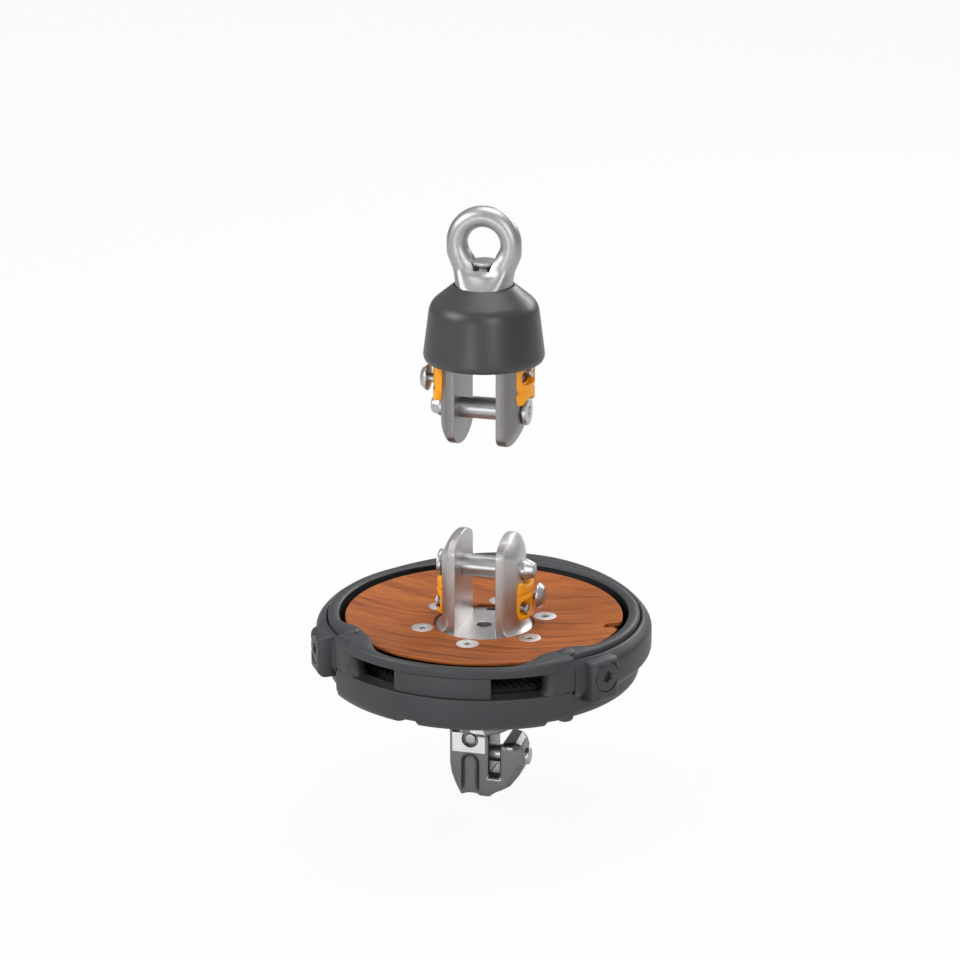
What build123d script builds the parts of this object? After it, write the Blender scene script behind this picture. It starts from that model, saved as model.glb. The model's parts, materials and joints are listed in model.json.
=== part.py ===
from build123d import *
import os
from math import sqrt, asin, degrees

# Furler set: a furling drum on its tack fitting, and the head swivel that goes with it.
# Millimetres, +Z up the stay, X along the clevis pins, the line openings face -Y.
# The origin is where the tack pin crosses the stay axis.

# Clearances
run_fit = 0.05          # radial, a shaft that turns or slides in its hole
seat_fit = 0.1          # between rigid pieces of one unit
free_gap = 0.3          # between curved faces that move past each other

# Heights of the main levels
deck_z = 77.0           # top of the wood round the fork, under the screw heads
swivel_pin_z = 200.0    # clevis pin of the head swivel

# Fork, the same turning on both units
fork_gap = 22.8
fork_middle_thick = 11.2
fork_edge_thick = 4.6
fork_half_depth = 19.1
pin_above_base = 32.6
fork_tip_high = 19.5
fork_tip_rise = 6.2
pin_d = 12.0
pin_head_d = 15.0
pin_head_thick = 2.6
pin_shoulder = 1.0
pin_lead = 6.4
pin_taper = 2.2
base_flare = 4.8
base_radius = fork_gap / 2 + fork_middle_thick + base_flare
base_top_drop = 1.5
foot_tall = 3.5
centre_hole_d = 8.4
back_slot_wide = 10.0
back_slot_deep = 4.0
back_slot_wall = 1.0

# Lock plates and their knobs
lock_thick = 4.2
lock_web = 1.8
lock_outer_radius = 60.0
lock_front = 10.5
lock_back = 12.0
lock_nose = 3.5
lock_slant = 12.0
lock_long = 19.4
lock_corner = 3.5
lock_round = 1.6
lock_travel = 2.5
lock_screw_d = 4.0
lock_screw_head_d = 6.4
lock_screw_head_thick = 1.6
screw_slot_wide = 1.0
screw_slot_deep = 0.7
lock_screw_y = -3.0
lock_screw_from_pin = 21.5
knob_d = 14.2
knob_tall = 4.0
knob_taper = 2.6
knob_shaft_d = 5.0
knob_travel = 1.2
knob_y = 8.6
knob_from_pin = 17.5
knob_bore = 9.0
knob_spring_long = 2.0
knob_notch_gap = 1.0
spring_wire = 0.7

# Deck disc and its screws
disc_radius = 76.4
disc_thick = 7.0
disc_rise = 5.6
disc_edge_round = 2.4
notch_wide = 6.0
notch_deep = 5.0
notch_angle = 2.0
deck_screw_count = 6
deck_screw_d = 6.0
deck_screw_head_d = 12.6
deck_screw_off_base = 1.3
deck_screw_pcd = 2 * base_radius + deck_screw_head_d + 2 * deck_screw_off_base
deck_screw_head_thick = 3.4
deck_screw_long = 22.0
drive_wide = 5.0
drive_deep = 2.0

# Rotor core and sheave
flange_thick = 6.0
core_wall = 6.0
core_radius = (deck_screw_pcd + deck_screw_d) / 2 + core_wall
disc_flat_radius = core_radius
core_tall = 18.0
core_tube_tall = 4.0
sheave_inset = 2.4
sheave_radius = disc_radius - sheave_inset
groove_wall = 10.0
sheave_groove_radius = core_radius + groove_wall
cheek_split_drop = 8.4
cheek_lift = 2.0
cheek_bevel = 4.0
lower_lip_drop = 11.0
upper_lip_drop = 4.0
rib_count = 36
rib_wide = 2.0
rib_tall = 1.2
rib_lean = 28.0

# Axle and ball bearings
axle_d = 20.0
axle_sunk = 3.0
bearing_band = 11.0
bearing_outer_d = axle_d + 2 * bearing_band
bearing_wide = 9.0
bearing_race = 2.9
bearing_space = 4.0
ball_count = 13
bearing_wall = 7.0
core_tube_radius = bearing_outer_d / 2 + bearing_wall
nut_wall = 3.5
nut_across = axle_d + 2 * nut_wall
nut_tall = 5.0
nut_above = 0.5
nut_clear = 1.5
seal_thick = 2.0
seal_radius = core_tube_radius - bearing_wall / 2

# Standing frame
rim_gap = 3.2
rim_wide = 6.4
front_swell = 4.6
rim_inner_radius = disc_radius + rim_gap
rim_outer_radius = rim_inner_radius + rim_wide
rim_front_radius = rim_outer_radius + front_swell
rim_above_deck = 7.4
rim_round = 2.2
wall = 3.0
frame_wall = 5.4
slot_above_deck = 1.3
slot_tall = 12.0
ring_tall = 15.8
bowl_drop = 4.6
bowl_turn_in = 9.0
floor_bevel = 5.0
boss_drop = 11.9
front_half_angle = 47.0
post_angle = 43.0
post_d = 11.0
block_half_wide = 27.0
block_sunk = 1.0
lobe_half_deep = 6.0
lobe_half_wide = 18.0
lobe_inset = 0.8
lobe_thick = 2.2
lobe_angle = 50.0
bump_d = 8.0
bump_tall = 1.0
bowl_notch_angles = (-103.0, -49.0)
bowl_notch_wide = 13.0
bowl_notch_deep = 6.0
bowl_notch_tall = 2.6

# Rear hoop and side screws
hoop_out = 6.6
hoop_radius = rim_outer_radius + hoop_out
hoop_shift = 4.2
hoop_end_gap = 0.2      # degrees
hoop_band = 14.0
hoop_top_bevel = 4.6
hoop_low_bevel = 6.0
hoop_above_deck = 4.5
pad_angle = 58.0        # from the front, each side
pad_middle_drop = 8.0
pad_wide = 19.0
pad_tall = 25.0
pad_reach = 10.6
pad_out = rim_outer_radius + pad_reach
pad_chamfer = 3.0
side_screw_d = 8.0
side_screw_head_d = 16.5
side_screw_head_thick = 4.0
side_screw_long = 15.0
side_screw_sunk = 0.4
side_drive_wide = 7.0
frame_screw_d = 3.2
frame_screw_head_d = 5.6
frame_screw_head_thick = 2.0
frame_screw_drop = 1.5
frame_drive_deep = 1.2
frame_screw_count = 6

# Tack fitting
stem_wall = 5.7
stem_d = axle_d + 2 * stem_wall
stem_bottom_z = 17.0
hook_front = 14.0
hook_left = 16.4
hook_throat_left = 6.4
hook_throat_right = 12.2
hook_right = 24.8
hook_bottom_drop = 22.0
hook_throat_drop = 9.0
hook_lobe_top = 10.6
hook_lobe_corner = (4.0, 5.0)
hook_lip = (1.5, 3.0)
hook_cheek = (6.0, 16.0)
hook_heel = (5.0, 3.5)
hook_belly = (7.0, 7.0)
hook_flank = 17.0
hook_round = 1.2
hook_corner = 3.0
tack_pin_d = 10.0
tack_pin_head = 2.0
tack_pin_depth = 12.0
tack_pin_gap = 1.0
tack_pin_chamfer = 0.8
plunger_x = -4.3
plunger_z = 12.0
plunger_d = 5.6
plunger_ring_d = 9.6
plunger_ring_deep = 1.6
plunger_sunk = 0.6
plunger_depth = 9.0
plunger_travel = 1.8
tack_spring_long = 3.0
scoop_wide = 10.4
scoop_deep = 4.5
scoop_tall = 20.0

# Head swivel
shank_d = 16.0
swivel_bearing_wide = 7.0
swivel_bearing_outer_d = shank_d + 2 * bearing_band
swivel_nut_across = shank_d + 2 * nut_wall
swivel_nut_tall = 4.0
housing_wall = 5.6
housing_radius = swivel_bearing_outer_d / 2 + housing_wall
cover_over_base = 5.5
cover_low_radius = base_radius + cover_over_base
cover_room = 4.6
cover_shoulder_radius = housing_radius + cover_room
cover_low_above_pin = 27.6
cover_band_tall = 31.0
cover_cone_tall = 10.2
cover_wall = 2.4
cover_round = 1.4
cover_lip = 1.2
eye_ring_radius = 15.0
eye_wire_radius = 5.5
eye_above_cover = 22.4
eye_hole_low = 14.4
eye_hole_taper = 2.5
eye_neck_radius = 15.6
eye_collar_deep = 5.0
eye_flank = 1.0
cover_neck_radius = eye_neck_radius + cover_lip
stud_d = 14.2
stud_thick = 1.6
stud_taper = 2.4
stud_root = 6.0
stud_neck_d = 8.4
stud_up = 5.2


# Shapes that several pieces share

def section(points, rounding=0.0):
    face = make_face(Polyline(*points, close=True))
    return fillet(face.vertices(), rounding) if rounding else face


def turned(points, rounding=0.0, arc=360.0, start=0.0):
    return Rot(0, 0, start) * revolve(Plane.XZ * section(points, rounding), Axis.Z, arc)


def tube(outer, inner, low, high):
    return turned([(inner, low), (outer, low), (outer, high), (inner, high)])


def rod(radius, low, high):
    return Pos(0, 0, low) * Cylinder(radius, high - low, align=(Align.CENTER, Align.CENTER, Align.MIN))


def rod_y(radius, front, back, x=0.0, z=0.0):
    lying = Rot(-90, 0, 0) * Cylinder(radius, back - front, align=(Align.CENTER, Align.CENTER, Align.MIN))
    return Pos(x, front, z) * lying


def rod_x(radius, left, right, y=0.0, z=0.0):
    lying = Rot(0, 90, 0) * Cylinder(radius, right - left, align=(Align.CENTER, Align.CENTER, Align.MIN))
    return Pos(left, y, z) * lying


def cone_x(left_radius, right_radius, left, right, y=0.0, z=0.0):
    lying = Rot(0, 90, 0) * Cone(left_radius, right_radius, right - left,
                                 align=(Align.CENTER, Align.CENTER, Align.MIN))
    return Pos(left, y, z) * lying


def block(x0, x1, y0, y1, z0, z1):
    corner = (Align.MIN, Align.MIN, Align.MIN)
    return Pos(x0, y0, z0) * Box(x1 - x0, y1 - y0, z1 - z0, align=corner)


def around(piece, angles, radius):
    return [Rot(0, 0, a) * Pos(radius, 0, 0) * piece for a in angles]


def joined(pieces):
    whole = pieces[0]
    for piece in pieces[1:]:
        whole = whole + piece
    return whole


def cross_drive(wide, deep):
    arm = wide / 3
    along = Box(wide, arm, deep, align=(Align.CENTER, Align.CENTER, Align.MAX))
    return along + Rot(0, 0, 60) * along + Rot(0, 0, 120) * along


def save(name, shape):
    solids = shape if isinstance(shape, list) else shape.solids()
    whole = solids[0] if len(solids) == 1 else Compound(children=list(solids))
    export_step(whole, "parts/" + name + ".step")


os.makedirs("parts", exist_ok=True)


# Fork with its pin, lock plates, screws and knob.
# Each is made for a pin axis at height 0 with the jaws pointing up, then set in place.

gap_half = fork_gap / 2
jaw_out = gap_half + fork_middle_thick
jaw_bulge = fork_middle_thick - fork_edge_thick
jaw_back_radius = (jaw_bulge ** 2 + fork_half_depth ** 2) / (2 * jaw_bulge)
base_top = -pin_above_base - base_top_drop
lock_face = jaw_out + seat_fit
lock_top = -pin_head_d / 2 - free_gap


def bulge(over):
    return Pos(jaw_out - jaw_back_radius, 0, 0) * Cylinder(jaw_back_radius + over, 6 * fork_tip_high)


def fork_jaw():
    shoulder = fork_tip_high - fork_tip_rise
    arch = ThreePointArc((-fork_half_depth, shoulder), (0, fork_tip_high), (fork_half_depth, shoulder))
    sides = Polyline((fork_half_depth, shoulder), (fork_half_depth, base_top), (-fork_half_depth, base_top),
                     (-fork_half_depth, shoulder))
    slab = extrude(Plane.YZ.offset(gap_half) * make_face([arch, sides]), fork_middle_thick)
    tip = rod_y(jaw_back_radius, -2 * fork_half_depth, 2 * fork_half_depth, jaw_out - jaw_back_radius)
    lower = block(gap_half, jaw_out, -fork_half_depth, fork_half_depth, base_top, 0)
    foot = block(gap_half, base_radius, -fork_half_depth, fork_half_depth, base_top, base_top + foot_tall)
    foot = foot & turned([(0, base_top), (base_radius, base_top), (jaw_out, base_top + foot_tall),
                          (0, base_top + foot_tall)])
    jaw = (slab & bulge(0) & (tip + lower)) + foot
    jaw = jaw - rod_x(pin_d / 2 + run_fit, 0, 2 * jaw_out)
    return jaw - rod_x(lock_screw_d / 2, gap_half, 2 * jaw_out, lock_screw_y, -lock_screw_from_pin)


def fork_jaws(knob_side):
    jaw = fork_jaw()
    both = jaw + mirror(jaw, about=Plane.YZ)
    knob_hole = rod_x(knob_shaft_d / 2 + run_fit, jaw_out - knob_bore, 2 * jaw_out, knob_y, -knob_from_pin)
    return both - (knob_hole if knob_side > 0 else mirror(knob_hole, about=Plane.YZ))


def slide_slot(radius, start, y, z):
    ends = rod_x(radius, start, 3 * jaw_out, y, z) + rod_x(radius, start, 3 * jaw_out, y, z + lock_travel)
    return ends + block(start, 3 * jaw_out, y - radius, y + radius, z, z + lock_travel)


def lock_plate():
    low = lock_top - lock_long
    outline = section([(-lock_nose, lock_top), (lock_back - lock_corner, lock_top),
                       (lock_back, lock_top - lock_corner), (lock_back, low + lock_corner),
                       (lock_back - lock_corner, low), (lock_corner - lock_front, low),
                       (-lock_front, low + lock_corner), (-lock_front, lock_top - lock_slant)], lock_round)
    outside = Pos(lock_face + lock_thick - lock_outer_radius, 0, 0)
    plate = extrude(Plane.YZ * outline, 2 * jaw_out)
    plate = (plate & outside * Cylinder(lock_outer_radius, 6 * fork_tip_high)) - bulge(seat_fit)
    plate = plate - slide_slot(lock_screw_d / 2 + free_gap, 0, lock_screw_y, -lock_screw_from_pin)
    plate = plate - slide_slot(lock_screw_head_d / 2 + free_gap, lock_face + lock_web, lock_screw_y,
                               -lock_screw_from_pin)
    reach = knob_shaft_d / 2 + knob_notch_gap
    return plate - block(0, 3 * jaw_out, knob_y - reach, 2 * lock_back, -knob_from_pin - reach,
                         -knob_from_pin + lock_travel + reach)


def lock_screw():
    head = lock_face + lock_web + seat_fit
    outer = head + lock_screw_head_thick
    shank = rod_x(lock_screw_d / 2, gap_half + seat_fit, head, lock_screw_y, -lock_screw_from_pin)
    cap = rod_x(lock_screw_head_d / 2, head, outer, lock_screw_y, -lock_screw_from_pin)
    slot = block(outer - screw_slot_deep, outer + screw_slot_deep, lock_screw_y - lock_screw_head_d,
                 lock_screw_y + lock_screw_head_d, -lock_screw_from_pin - screw_slot_wide / 2,
                 -lock_screw_from_pin + screw_slot_wide / 2)
    return shank + cap - slot


def clevis_pin():
    head_side = -jaw_out - seat_fit
    body = rod_x(pin_d / 2, head_side, jaw_out + pin_shoulder)
    lead = cone_x(pin_d / 2, pin_d / 2 - pin_taper, jaw_out + pin_shoulder, jaw_out + pin_lead)
    head = rod_x(pin_head_d / 2, head_side - pin_head_thick, head_side)
    recess = rod_x(pin_head_d / 5, head_side - pin_head_thick, head_side - pin_head_thick / 2)
    return body + lead + head - recess


def knob():
    inner = lock_face + lock_thick + knob_travel + seat_fit
    start = jaw_out - knob_bore + knob_spring_long + knob_travel + seat_fit
    shaft = rod_x(knob_shaft_d / 2, start, inner, knob_y, -knob_from_pin)
    head = cone_x(knob_d / 2, knob_d / 2 - knob_taper, inner, inner + knob_tall, knob_y, -knob_from_pin)
    return shaft + head


def knob_spring():
    start = jaw_out - knob_bore
    return rod_x(knob_shaft_d / 2 - spring_wire, start, start + knob_spring_long, knob_y, -knob_from_pin)


def ball_bearing(bore_d, outer_d, wide, low, count):
    inner_race = tube(bore_d / 2 + bearing_race, bore_d / 2 + seat_fit / 2, low, low + wide)
    outer_race = tube(outer_d / 2 - seat_fit / 2, outer_d / 2 - bearing_race, low, low + wide)
    ball_r = (outer_d - bore_d) / 4 - bearing_race - seat_fit
    middle = (outer_d + bore_d) / 4
    balls = around(Pos(0, 0, low + wide / 2) * Sphere(ball_r), [360 / count * i for i in range(count)], middle)
    return inner_race, outer_race, balls


def hexagon_nut(across, bore_d, low, tall):
    outline = RegularPolygon(across / 2, 6, major_radius=False)
    return Pos(0, 0, low) * extrude(outline, tall) - rod(bore_d / 2, low - 1, low + tall + 1)


# Levels of the drum, from the deck down
deck_low = deck_z - disc_thick
flange_low = deck_low - flange_thick
core_low = flange_low - core_tall
core_tube_low = core_low - core_tube_tall
boss_top = core_tube_low - seal_thick
drum_pin_z = deck_z + pin_above_base
slot_top = deck_z + slot_above_deck
slot_low = slot_top - slot_tall
ring_low = slot_low - ring_tall
bowl_low = ring_low - bowl_drop
boss_low = bowl_low - boss_drop
rim_top = deck_z + rim_above_deck
disc_rim_top = deck_z + disc_rise

# Wooden deck disc
disc_profile = [(base_radius + seat_fit, deck_low), (disc_flat_radius, deck_low),
                (disc_radius, deck_low + disc_rise), (disc_radius, disc_rim_top),
                (disc_flat_radius, deck_z), (base_radius + seat_fit, deck_z)]
deck_disc = turned(disc_profile)
rim_edges = deck_disc.edges().filter_by(GeomType.CIRCLE).filter_by(lambda e: e.radius > disc_radius - 0.1)
deck_disc = fillet(rim_edges, disc_edge_round)
notch = block(disc_radius - notch_deep, disc_radius + 5, -notch_wide / 2, notch_wide / 2, deck_low, rim_top)
notch = notch + Pos(disc_radius - notch_deep, 0, 0) * rod(notch_wide / 2, deck_low, rim_top)
deck_disc = deck_disc - Rot(0, 0, notch_angle) * notch

# Deck screws stand in the wood, the fork flange and the core
screw_angles = [30 + 360 / deck_screw_count * i for i in range(deck_screw_count)]
head_cone = Pos(0, 0, deck_z) * Cone(deck_screw_d / 2, deck_screw_head_d / 2, deck_screw_head_thick,
                                      align=(Align.CENTER, Align.CENTER, Align.MAX))
deck_screw = head_cone + rod(deck_screw_d / 2, deck_z - deck_screw_long, deck_z - deck_screw_head_thick)
deck_screw = deck_screw - Pos(0, 0, deck_z) * cross_drive(drive_wide, drive_deep)
screw_room = rod(deck_screw_d / 2 + run_fit, deck_z - deck_screw_long - 1, deck_z + 1)
screw_room = screw_room + Pos(0, 0, deck_z) * Cone(
    deck_screw_d / 2 + run_fit, deck_screw_head_d / 2 + run_fit, deck_screw_head_thick,
    align=(Align.CENTER, Align.CENTER, Align.MAX))
deck_screws = around(deck_screw, screw_angles, deck_screw_pcd / 2)
screw_rooms = joined(around(screw_room, screw_angles, deck_screw_pcd / 2))
save("deck_disc", deck_disc - screw_rooms)
save("deck_screws", deck_screws)

# Drum fork: the jaws on a round base with a hidden flange under the wood
base_top_z = drum_pin_z + base_top
fork_base = rod(base_radius, deck_low, base_top_z) + rod(core_radius, flange_low, deck_low)
nut_room = rod(nut_across / sqrt(3) + nut_clear, flange_low, flange_low + nut_tall + nut_above + nut_clear)
back_y = base_radius - back_slot_wall
back_hole = block(-back_slot_wide / 2, back_slot_wide / 2, back_y - back_slot_deep, back_y,
                  flange_low + flange_thick / 3, deck_z)
drum_fork = Pos(0, 0, drum_pin_z) * fork_jaws(1) + fork_base
drum_fork = drum_fork - nut_room - rod(centre_hole_d / 2, flange_low, deck_z) - back_hole - screw_rooms
save("drum_fork", drum_fork)

on_drum = Pos(0, 0, drum_pin_z)
right_lock = lock_plate()
left_lock = mirror(right_lock, about=Plane.YZ)
right_screw = lock_screw()
left_screw = mirror(right_screw, about=Plane.YZ)
save("drum_clevis_pin", on_drum * clevis_pin())
save("drum_lock_right", on_drum * right_lock)
save("drum_lock_left", on_drum * left_lock)
save("drum_lock_screws", [on_drum * right_screw, on_drum * left_screw])
save("drum_knob", on_drum * knob())
save("drum_knob_spring", on_drum * knob_spring())

# Rotor core, bored for two ball bearings with a rib between them
bore_r = bearing_outer_d / 2
core = rod(core_radius, core_low, flange_low) + rod(core_tube_radius, core_tube_low, core_low)
core = core - rod(bore_r, core_tube_low, core_tube_low + bearing_wide)
core = core - rod(bore_r - bearing_race, core_tube_low, flange_low)
core = core - rod(bore_r, core_tube_low + bearing_wide + bearing_space, flange_low)
save("rotor_core", core - screw_rooms)

# Sheave halves with a narrow groove for the line, and slanting grip flutes
cheek_split = deck_z - cheek_split_drop
lower_lip = deck_z - lower_lip_drop
upper_lip = deck_z - upper_lip_drop
cheek_inner = core_radius + seat_fit
disc_slope = disc_rise / (disc_radius - disc_flat_radius)
upper_cheek = turned([(cheek_inner, cheek_split + run_fit), (sheave_groove_radius, cheek_split + run_fit),
                      (sheave_radius, upper_lip),
                      (sheave_radius, deck_low + disc_slope * (sheave_radius - disc_flat_radius) - seat_fit),
                      (cheek_inner, deck_low - seat_fit)])
cheek_low = core_low + cheek_lift
lower_cheek = turned([(cheek_inner, cheek_low), (sheave_radius - cheek_bevel, cheek_low),
                      (sheave_radius, cheek_low + cheek_bevel), (sheave_radius, lower_lip),
                      (sheave_groove_radius, cheek_split), (cheek_inner, cheek_split)])
flute_tilt = degrees(asin((cheek_split - lower_lip) / (sheave_radius - sheave_groove_radius)))
flute_long = sheave_radius - sheave_groove_radius
flute = (Pos((sheave_radius + sheave_groove_radius) / 2, 0, (lower_lip + cheek_split) / 2)
         * Rot(0, flute_tilt, 0) * Rot(0, 0, rib_lean) * Box(flute_long, rib_wide, 2 * rib_tall))
flutes = [Rot(0, 0, 360 / rib_count * i) * flute for i in range(rib_count)]
save("sheave_upper", upper_cheek)
save("sheave_lower", lower_cheek - flutes)

# Axle, bearings, spacer, nut and seal
axle_r = axle_d / 2
first_low = core_tube_low
second_low = core_tube_low + bearing_wide + bearing_space
for name, low in (("lower", first_low), ("upper", second_low)):
    inner_race, outer_race, balls = ball_bearing(axle_d, bearing_outer_d, bearing_wide, low, ball_count)
    save(name + "_inner_race", inner_race)
    save(name + "_outer_race", outer_race)
    save(name + "_bearing_balls", balls)
nut_low = flange_low + nut_above
axle_top = nut_low + nut_tall
axle_foot = stem_bottom_z + axle_sunk
save("axle", rod(axle_r, axle_foot, axle_top))
save("axle_nut", hexagon_nut(nut_across, axle_d + seat_fit, nut_low, nut_tall))
spacer_out = axle_r + bearing_race
save("axle_spacers", [tube(spacer_out, axle_r + seat_fit / 2, low, high) for low, high in (
    (boss_top, core_tube_low), (first_low + bearing_wide, second_low), (second_low + bearing_wide, nut_low))])
save("lower_seal", tube(seal_radius, spacer_out + seat_fit, boss_top, core_tube_low - free_gap))

# Lower bowl: centre boss on the axle, sloping floor, outer wall, wider lip along the front
front_start = -90 - front_half_angle
front_arc = 2 * front_half_angle
back_start = -90 + front_half_angle
back_arc = 360 - front_arc
wall_in = rim_outer_radius - frame_wall
floor_top = cheek_low - 3 * free_gap
bowl = turned([(axle_r + run_fit, boss_low), (seal_radius, boss_low),
               (rim_outer_radius - 3 * bowl_turn_in, bowl_low),
               (rim_outer_radius - bowl_turn_in, bowl_low), (rim_outer_radius, ring_low),
               (rim_outer_radius, slot_low), (wall_in, slot_low), (wall_in, floor_top + floor_bevel),
               (wall_in - floor_bevel, floor_top), (rim_outer_radius - 3 * bowl_turn_in, floor_top),
               (core_tube_radius + seal_thick, boss_top), (axle_r + run_fit, boss_top)])
front_lip = turned([(rim_outer_radius - bowl_turn_in, bowl_low), (rim_outer_radius, bowl_low + 1),
                    (rim_front_radius, ring_low), (rim_front_radius, slot_low),
                    (wall_in, slot_low), (wall_in, ring_low)], 0, front_arc, front_start)
screw_ring = rim_outer_radius - frame_wall / 2
frame_screw_angles = [180 / (frame_screw_count - 1) * i for i in range(frame_screw_count)]
head_low = ring_low - frame_screw_drop
screw_top = slot_top - wall
room = rod(frame_screw_d / 2 + run_fit, bowl_low, screw_top + free_gap)
room = room + rod(frame_screw_head_d / 2 + free_gap, boss_low, head_low + frame_screw_head_thick)
frame_screw_rooms = joined(around(room, frame_screw_angles, screw_ring))
screw = rod(frame_screw_d / 2, head_low, screw_top) + rod(frame_screw_head_d / 2, head_low,
                                                          head_low + frame_screw_head_thick)
screw = screw - Pos(0, 0, head_low) * Rot(180, 0, 0) * cross_drive(frame_screw_head_d / 2,
                                                                      frame_drive_deep)
save("frame_screws", around(screw, frame_screw_angles, screw_ring))
bowl_notch = block(rim_outer_radius - bowl_notch_deep, 2 * rim_front_radius, -bowl_notch_wide / 2,
                   bowl_notch_wide / 2, boss_low, bowl_low + bowl_notch_tall)
bowl_notches = [Rot(0, 0, a) * bowl_notch for a in bowl_notch_angles]
pad_z = deck_z - pad_middle_drop
side_room = rod_x(side_screw_d / 2 + run_fit, wall_in - wall, 2 * pad_out, 0, pad_z)
head_room = rod_x(side_screw_head_d / 2 + seat_fit, pad_out - side_screw_head_thick, 2 * pad_out, 0, pad_z)
pad_angles = [-90 - pad_angle, -90 + pad_angle]
side_rooms = [Rot(0, 0, a) * (side_room + head_room) for a in pad_angles]
save("lower_bowl", bowl + front_lip - bowl_notches - frame_screw_rooms - side_rooms)

# Upper rim: round ring over the gap beside the wood, closed skirt behind, lobes at the front corners
rim = turned([(rim_inner_radius, slot_top), (rim_outer_radius, slot_top), (rim_outer_radius, rim_top),
              (rim_inner_radius, rim_top)], rim_round)
rim = rim + turned([(rim_inner_radius, slot_top), (rim_front_radius, slot_top), (rim_front_radius, rim_top),
                    (rim_inner_radius, rim_top)], rim_round, front_arc, front_start)
skirt = turned([(wall_in, slot_low), (rim_outer_radius, slot_low), (rim_outer_radius, slot_top + rim_round),
                (wall_in, slot_top + rim_round)], 0, back_arc, back_start)
lobe_low = disc_rim_top + 2 * free_gap
lobe = extrude(Ellipse(lobe_half_deep, lobe_half_wide), lobe_thick)
lobe = fillet(lobe.edges().group_by(Axis.Z)[-1], lobe_thick / 3)
lobe = lobe + rod(bump_d / 2, lobe_thick / 2, lobe_thick + bump_tall)
lobes = [Rot(0, 0, -90 + side * lobe_angle) * Pos(rim_inner_radius - lobe_inset, 0, lobe_low) * lobe
         for side in (-1, 1)]
save("upper_rim", rim + skirt + lobes - side_rooms - frame_screw_rooms)

# Block between the two line openings, and the two posts the line bears on
block_half_angle = degrees(asin(block_half_wide / rim_front_radius))
block_out = rim_front_radius - block_sunk
save("line_block", turned([(wall_in, slot_low), (block_out, slot_low), (block_out, slot_top),
                           (wall_in, slot_top)], 0, 2 * block_half_angle, -90 - block_half_angle))
posts = around(rod(post_d / 2, slot_low, slot_top), [-90 - post_angle, -90 + post_angle],
               (wall_in + rim_front_radius) / 2)
save("line_posts", posts)

# Rear hoop with its two end pads, held by the side screws
hoop_top = deck_z + hoop_above_deck
band_top = hoop_top - hoop_top_bevel
band_low = band_top - hoop_band
hoop_low = band_low - hoop_low_bevel
inside = rim_outer_radius - hoop_out
hoop = Pos(0, hoop_shift, 0) * turned([
    (inside, hoop_low), (hoop_radius - hoop_low_bevel, hoop_low), (hoop_radius, band_low),
    (hoop_radius, band_top), (hoop_radius - hoop_top_bevel, hoop_top), (inside, hoop_top)])
front_wedge = turned([(0, 0), (2 * hoop_radius, 0), (2 * hoop_radius, 2 * deck_z), (0, 2 * deck_z)],
                     0, front_arc + 2 * hoop_end_gap, front_start - hoop_end_gap)
pad = block(inside, pad_out, -pad_wide / 2, pad_wide / 2, pad_z - pad_tall / 2, pad_z + pad_tall / 2)
pad = chamfer(pad.faces().sort_by(Axis.X)[-1].edges(), pad_chamfer)
hoop = hoop - front_wedge + [Rot(0, 0, a) * pad for a in pad_angles]
hoop = hoop - rod(rim_outer_radius + seat_fit, 0, 2 * deck_z) - side_rooms
save("rear_hoop", hoop)
head_out = pad_out - side_screw_sunk
head = rod_x(side_screw_head_d / 2, pad_out - side_screw_head_thick, head_out, 0, pad_z)
drive = Pos(head_out, 0, pad_z) * Rot(0, 90, 0) * cross_drive(side_drive_wide, drive_deep)
side_screw = rod_x(side_screw_d / 2, pad_out - side_screw_long, pad_out - side_screw_head_thick, 0, pad_z)
side_screw = side_screw + head - drive
save("side_screws", [Rot(0, 0, a) * side_screw for a in pad_angles])

# Tack fitting: forged hook under a round stem, open to the front, the back and above its throat
hook_low = -hook_bottom_drop
hook_side = Plane.XZ * section([
    (-hook_left, stem_bottom_z), (-hook_left, hook_low + hook_cheek[1]),
    (hook_cheek[0] - hook_left, hook_low), (hook_throat_left, hook_low),
    (hook_throat_left + hook_heel[0], hook_low + hook_heel[1]),
    (hook_right - hook_belly[0], hook_low + hook_belly[1]), (hook_right, hook_low + hook_flank),
    (hook_right, hook_lobe_top - hook_lobe_corner[1]), (hook_right - hook_lobe_corner[0], hook_lobe_top),
    (hook_throat_right + hook_lip[0], hook_lobe_top), (hook_throat_right, hook_lobe_top - hook_lip[1]),
    (hook_throat_right, -hook_throat_drop), (hook_throat_left, -hook_throat_drop),
    (hook_throat_left, stem_bottom_z)], hook_round)
hook = extrude(hook_side, hook_front, both=True)
hook_plan = fillet(Rectangle(4 * hook_front, 2 * hook_front).vertices(), hook_corner)
hook = hook & Pos(hook_throat_left / 2, 0, hook_low) * extrude(hook_plan, 2 * hook_bottom_drop)
hook = hook + rod(stem_d / 2, stem_bottom_z - hook_round, boss_low)
hook = hook - rod(axle_r + run_fit, axle_foot - tack_pin_gap, boss_low)
pin_room = rod_x(tack_pin_d / 2 + run_fit, hook_throat_left - tack_pin_depth, 2 * hook_right)
face_y = -hook_front
bore_end = face_y + plunger_depth + plunger_travel + tack_spring_long
plunger_room = rod_y(plunger_d / 2 + run_fit, 2 * face_y, bore_end, plunger_x, plunger_z)
plunger_room = plunger_room + rod_y(plunger_ring_d / 2, 2 * face_y, face_y + plunger_ring_deep,
                                    plunger_x, plunger_z)
scoop_top = hook_low + scoop_tall
scoop_y = face_y - scoop_wide / 2 + scoop_deep
scoop = Pos(plunger_x, scoop_y, 0) * (rod(scoop_wide / 2, 2 * hook_low, scoop_top)
                                      + Pos(0, 0, scoop_top) * Sphere(scoop_wide / 2))
save("tack_hook", hook - pin_room - plunger_room - scoop)
tack_pin = rod_x(tack_pin_d / 2, hook_throat_left - tack_pin_depth + tack_pin_gap, hook_right + tack_pin_head)
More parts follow.
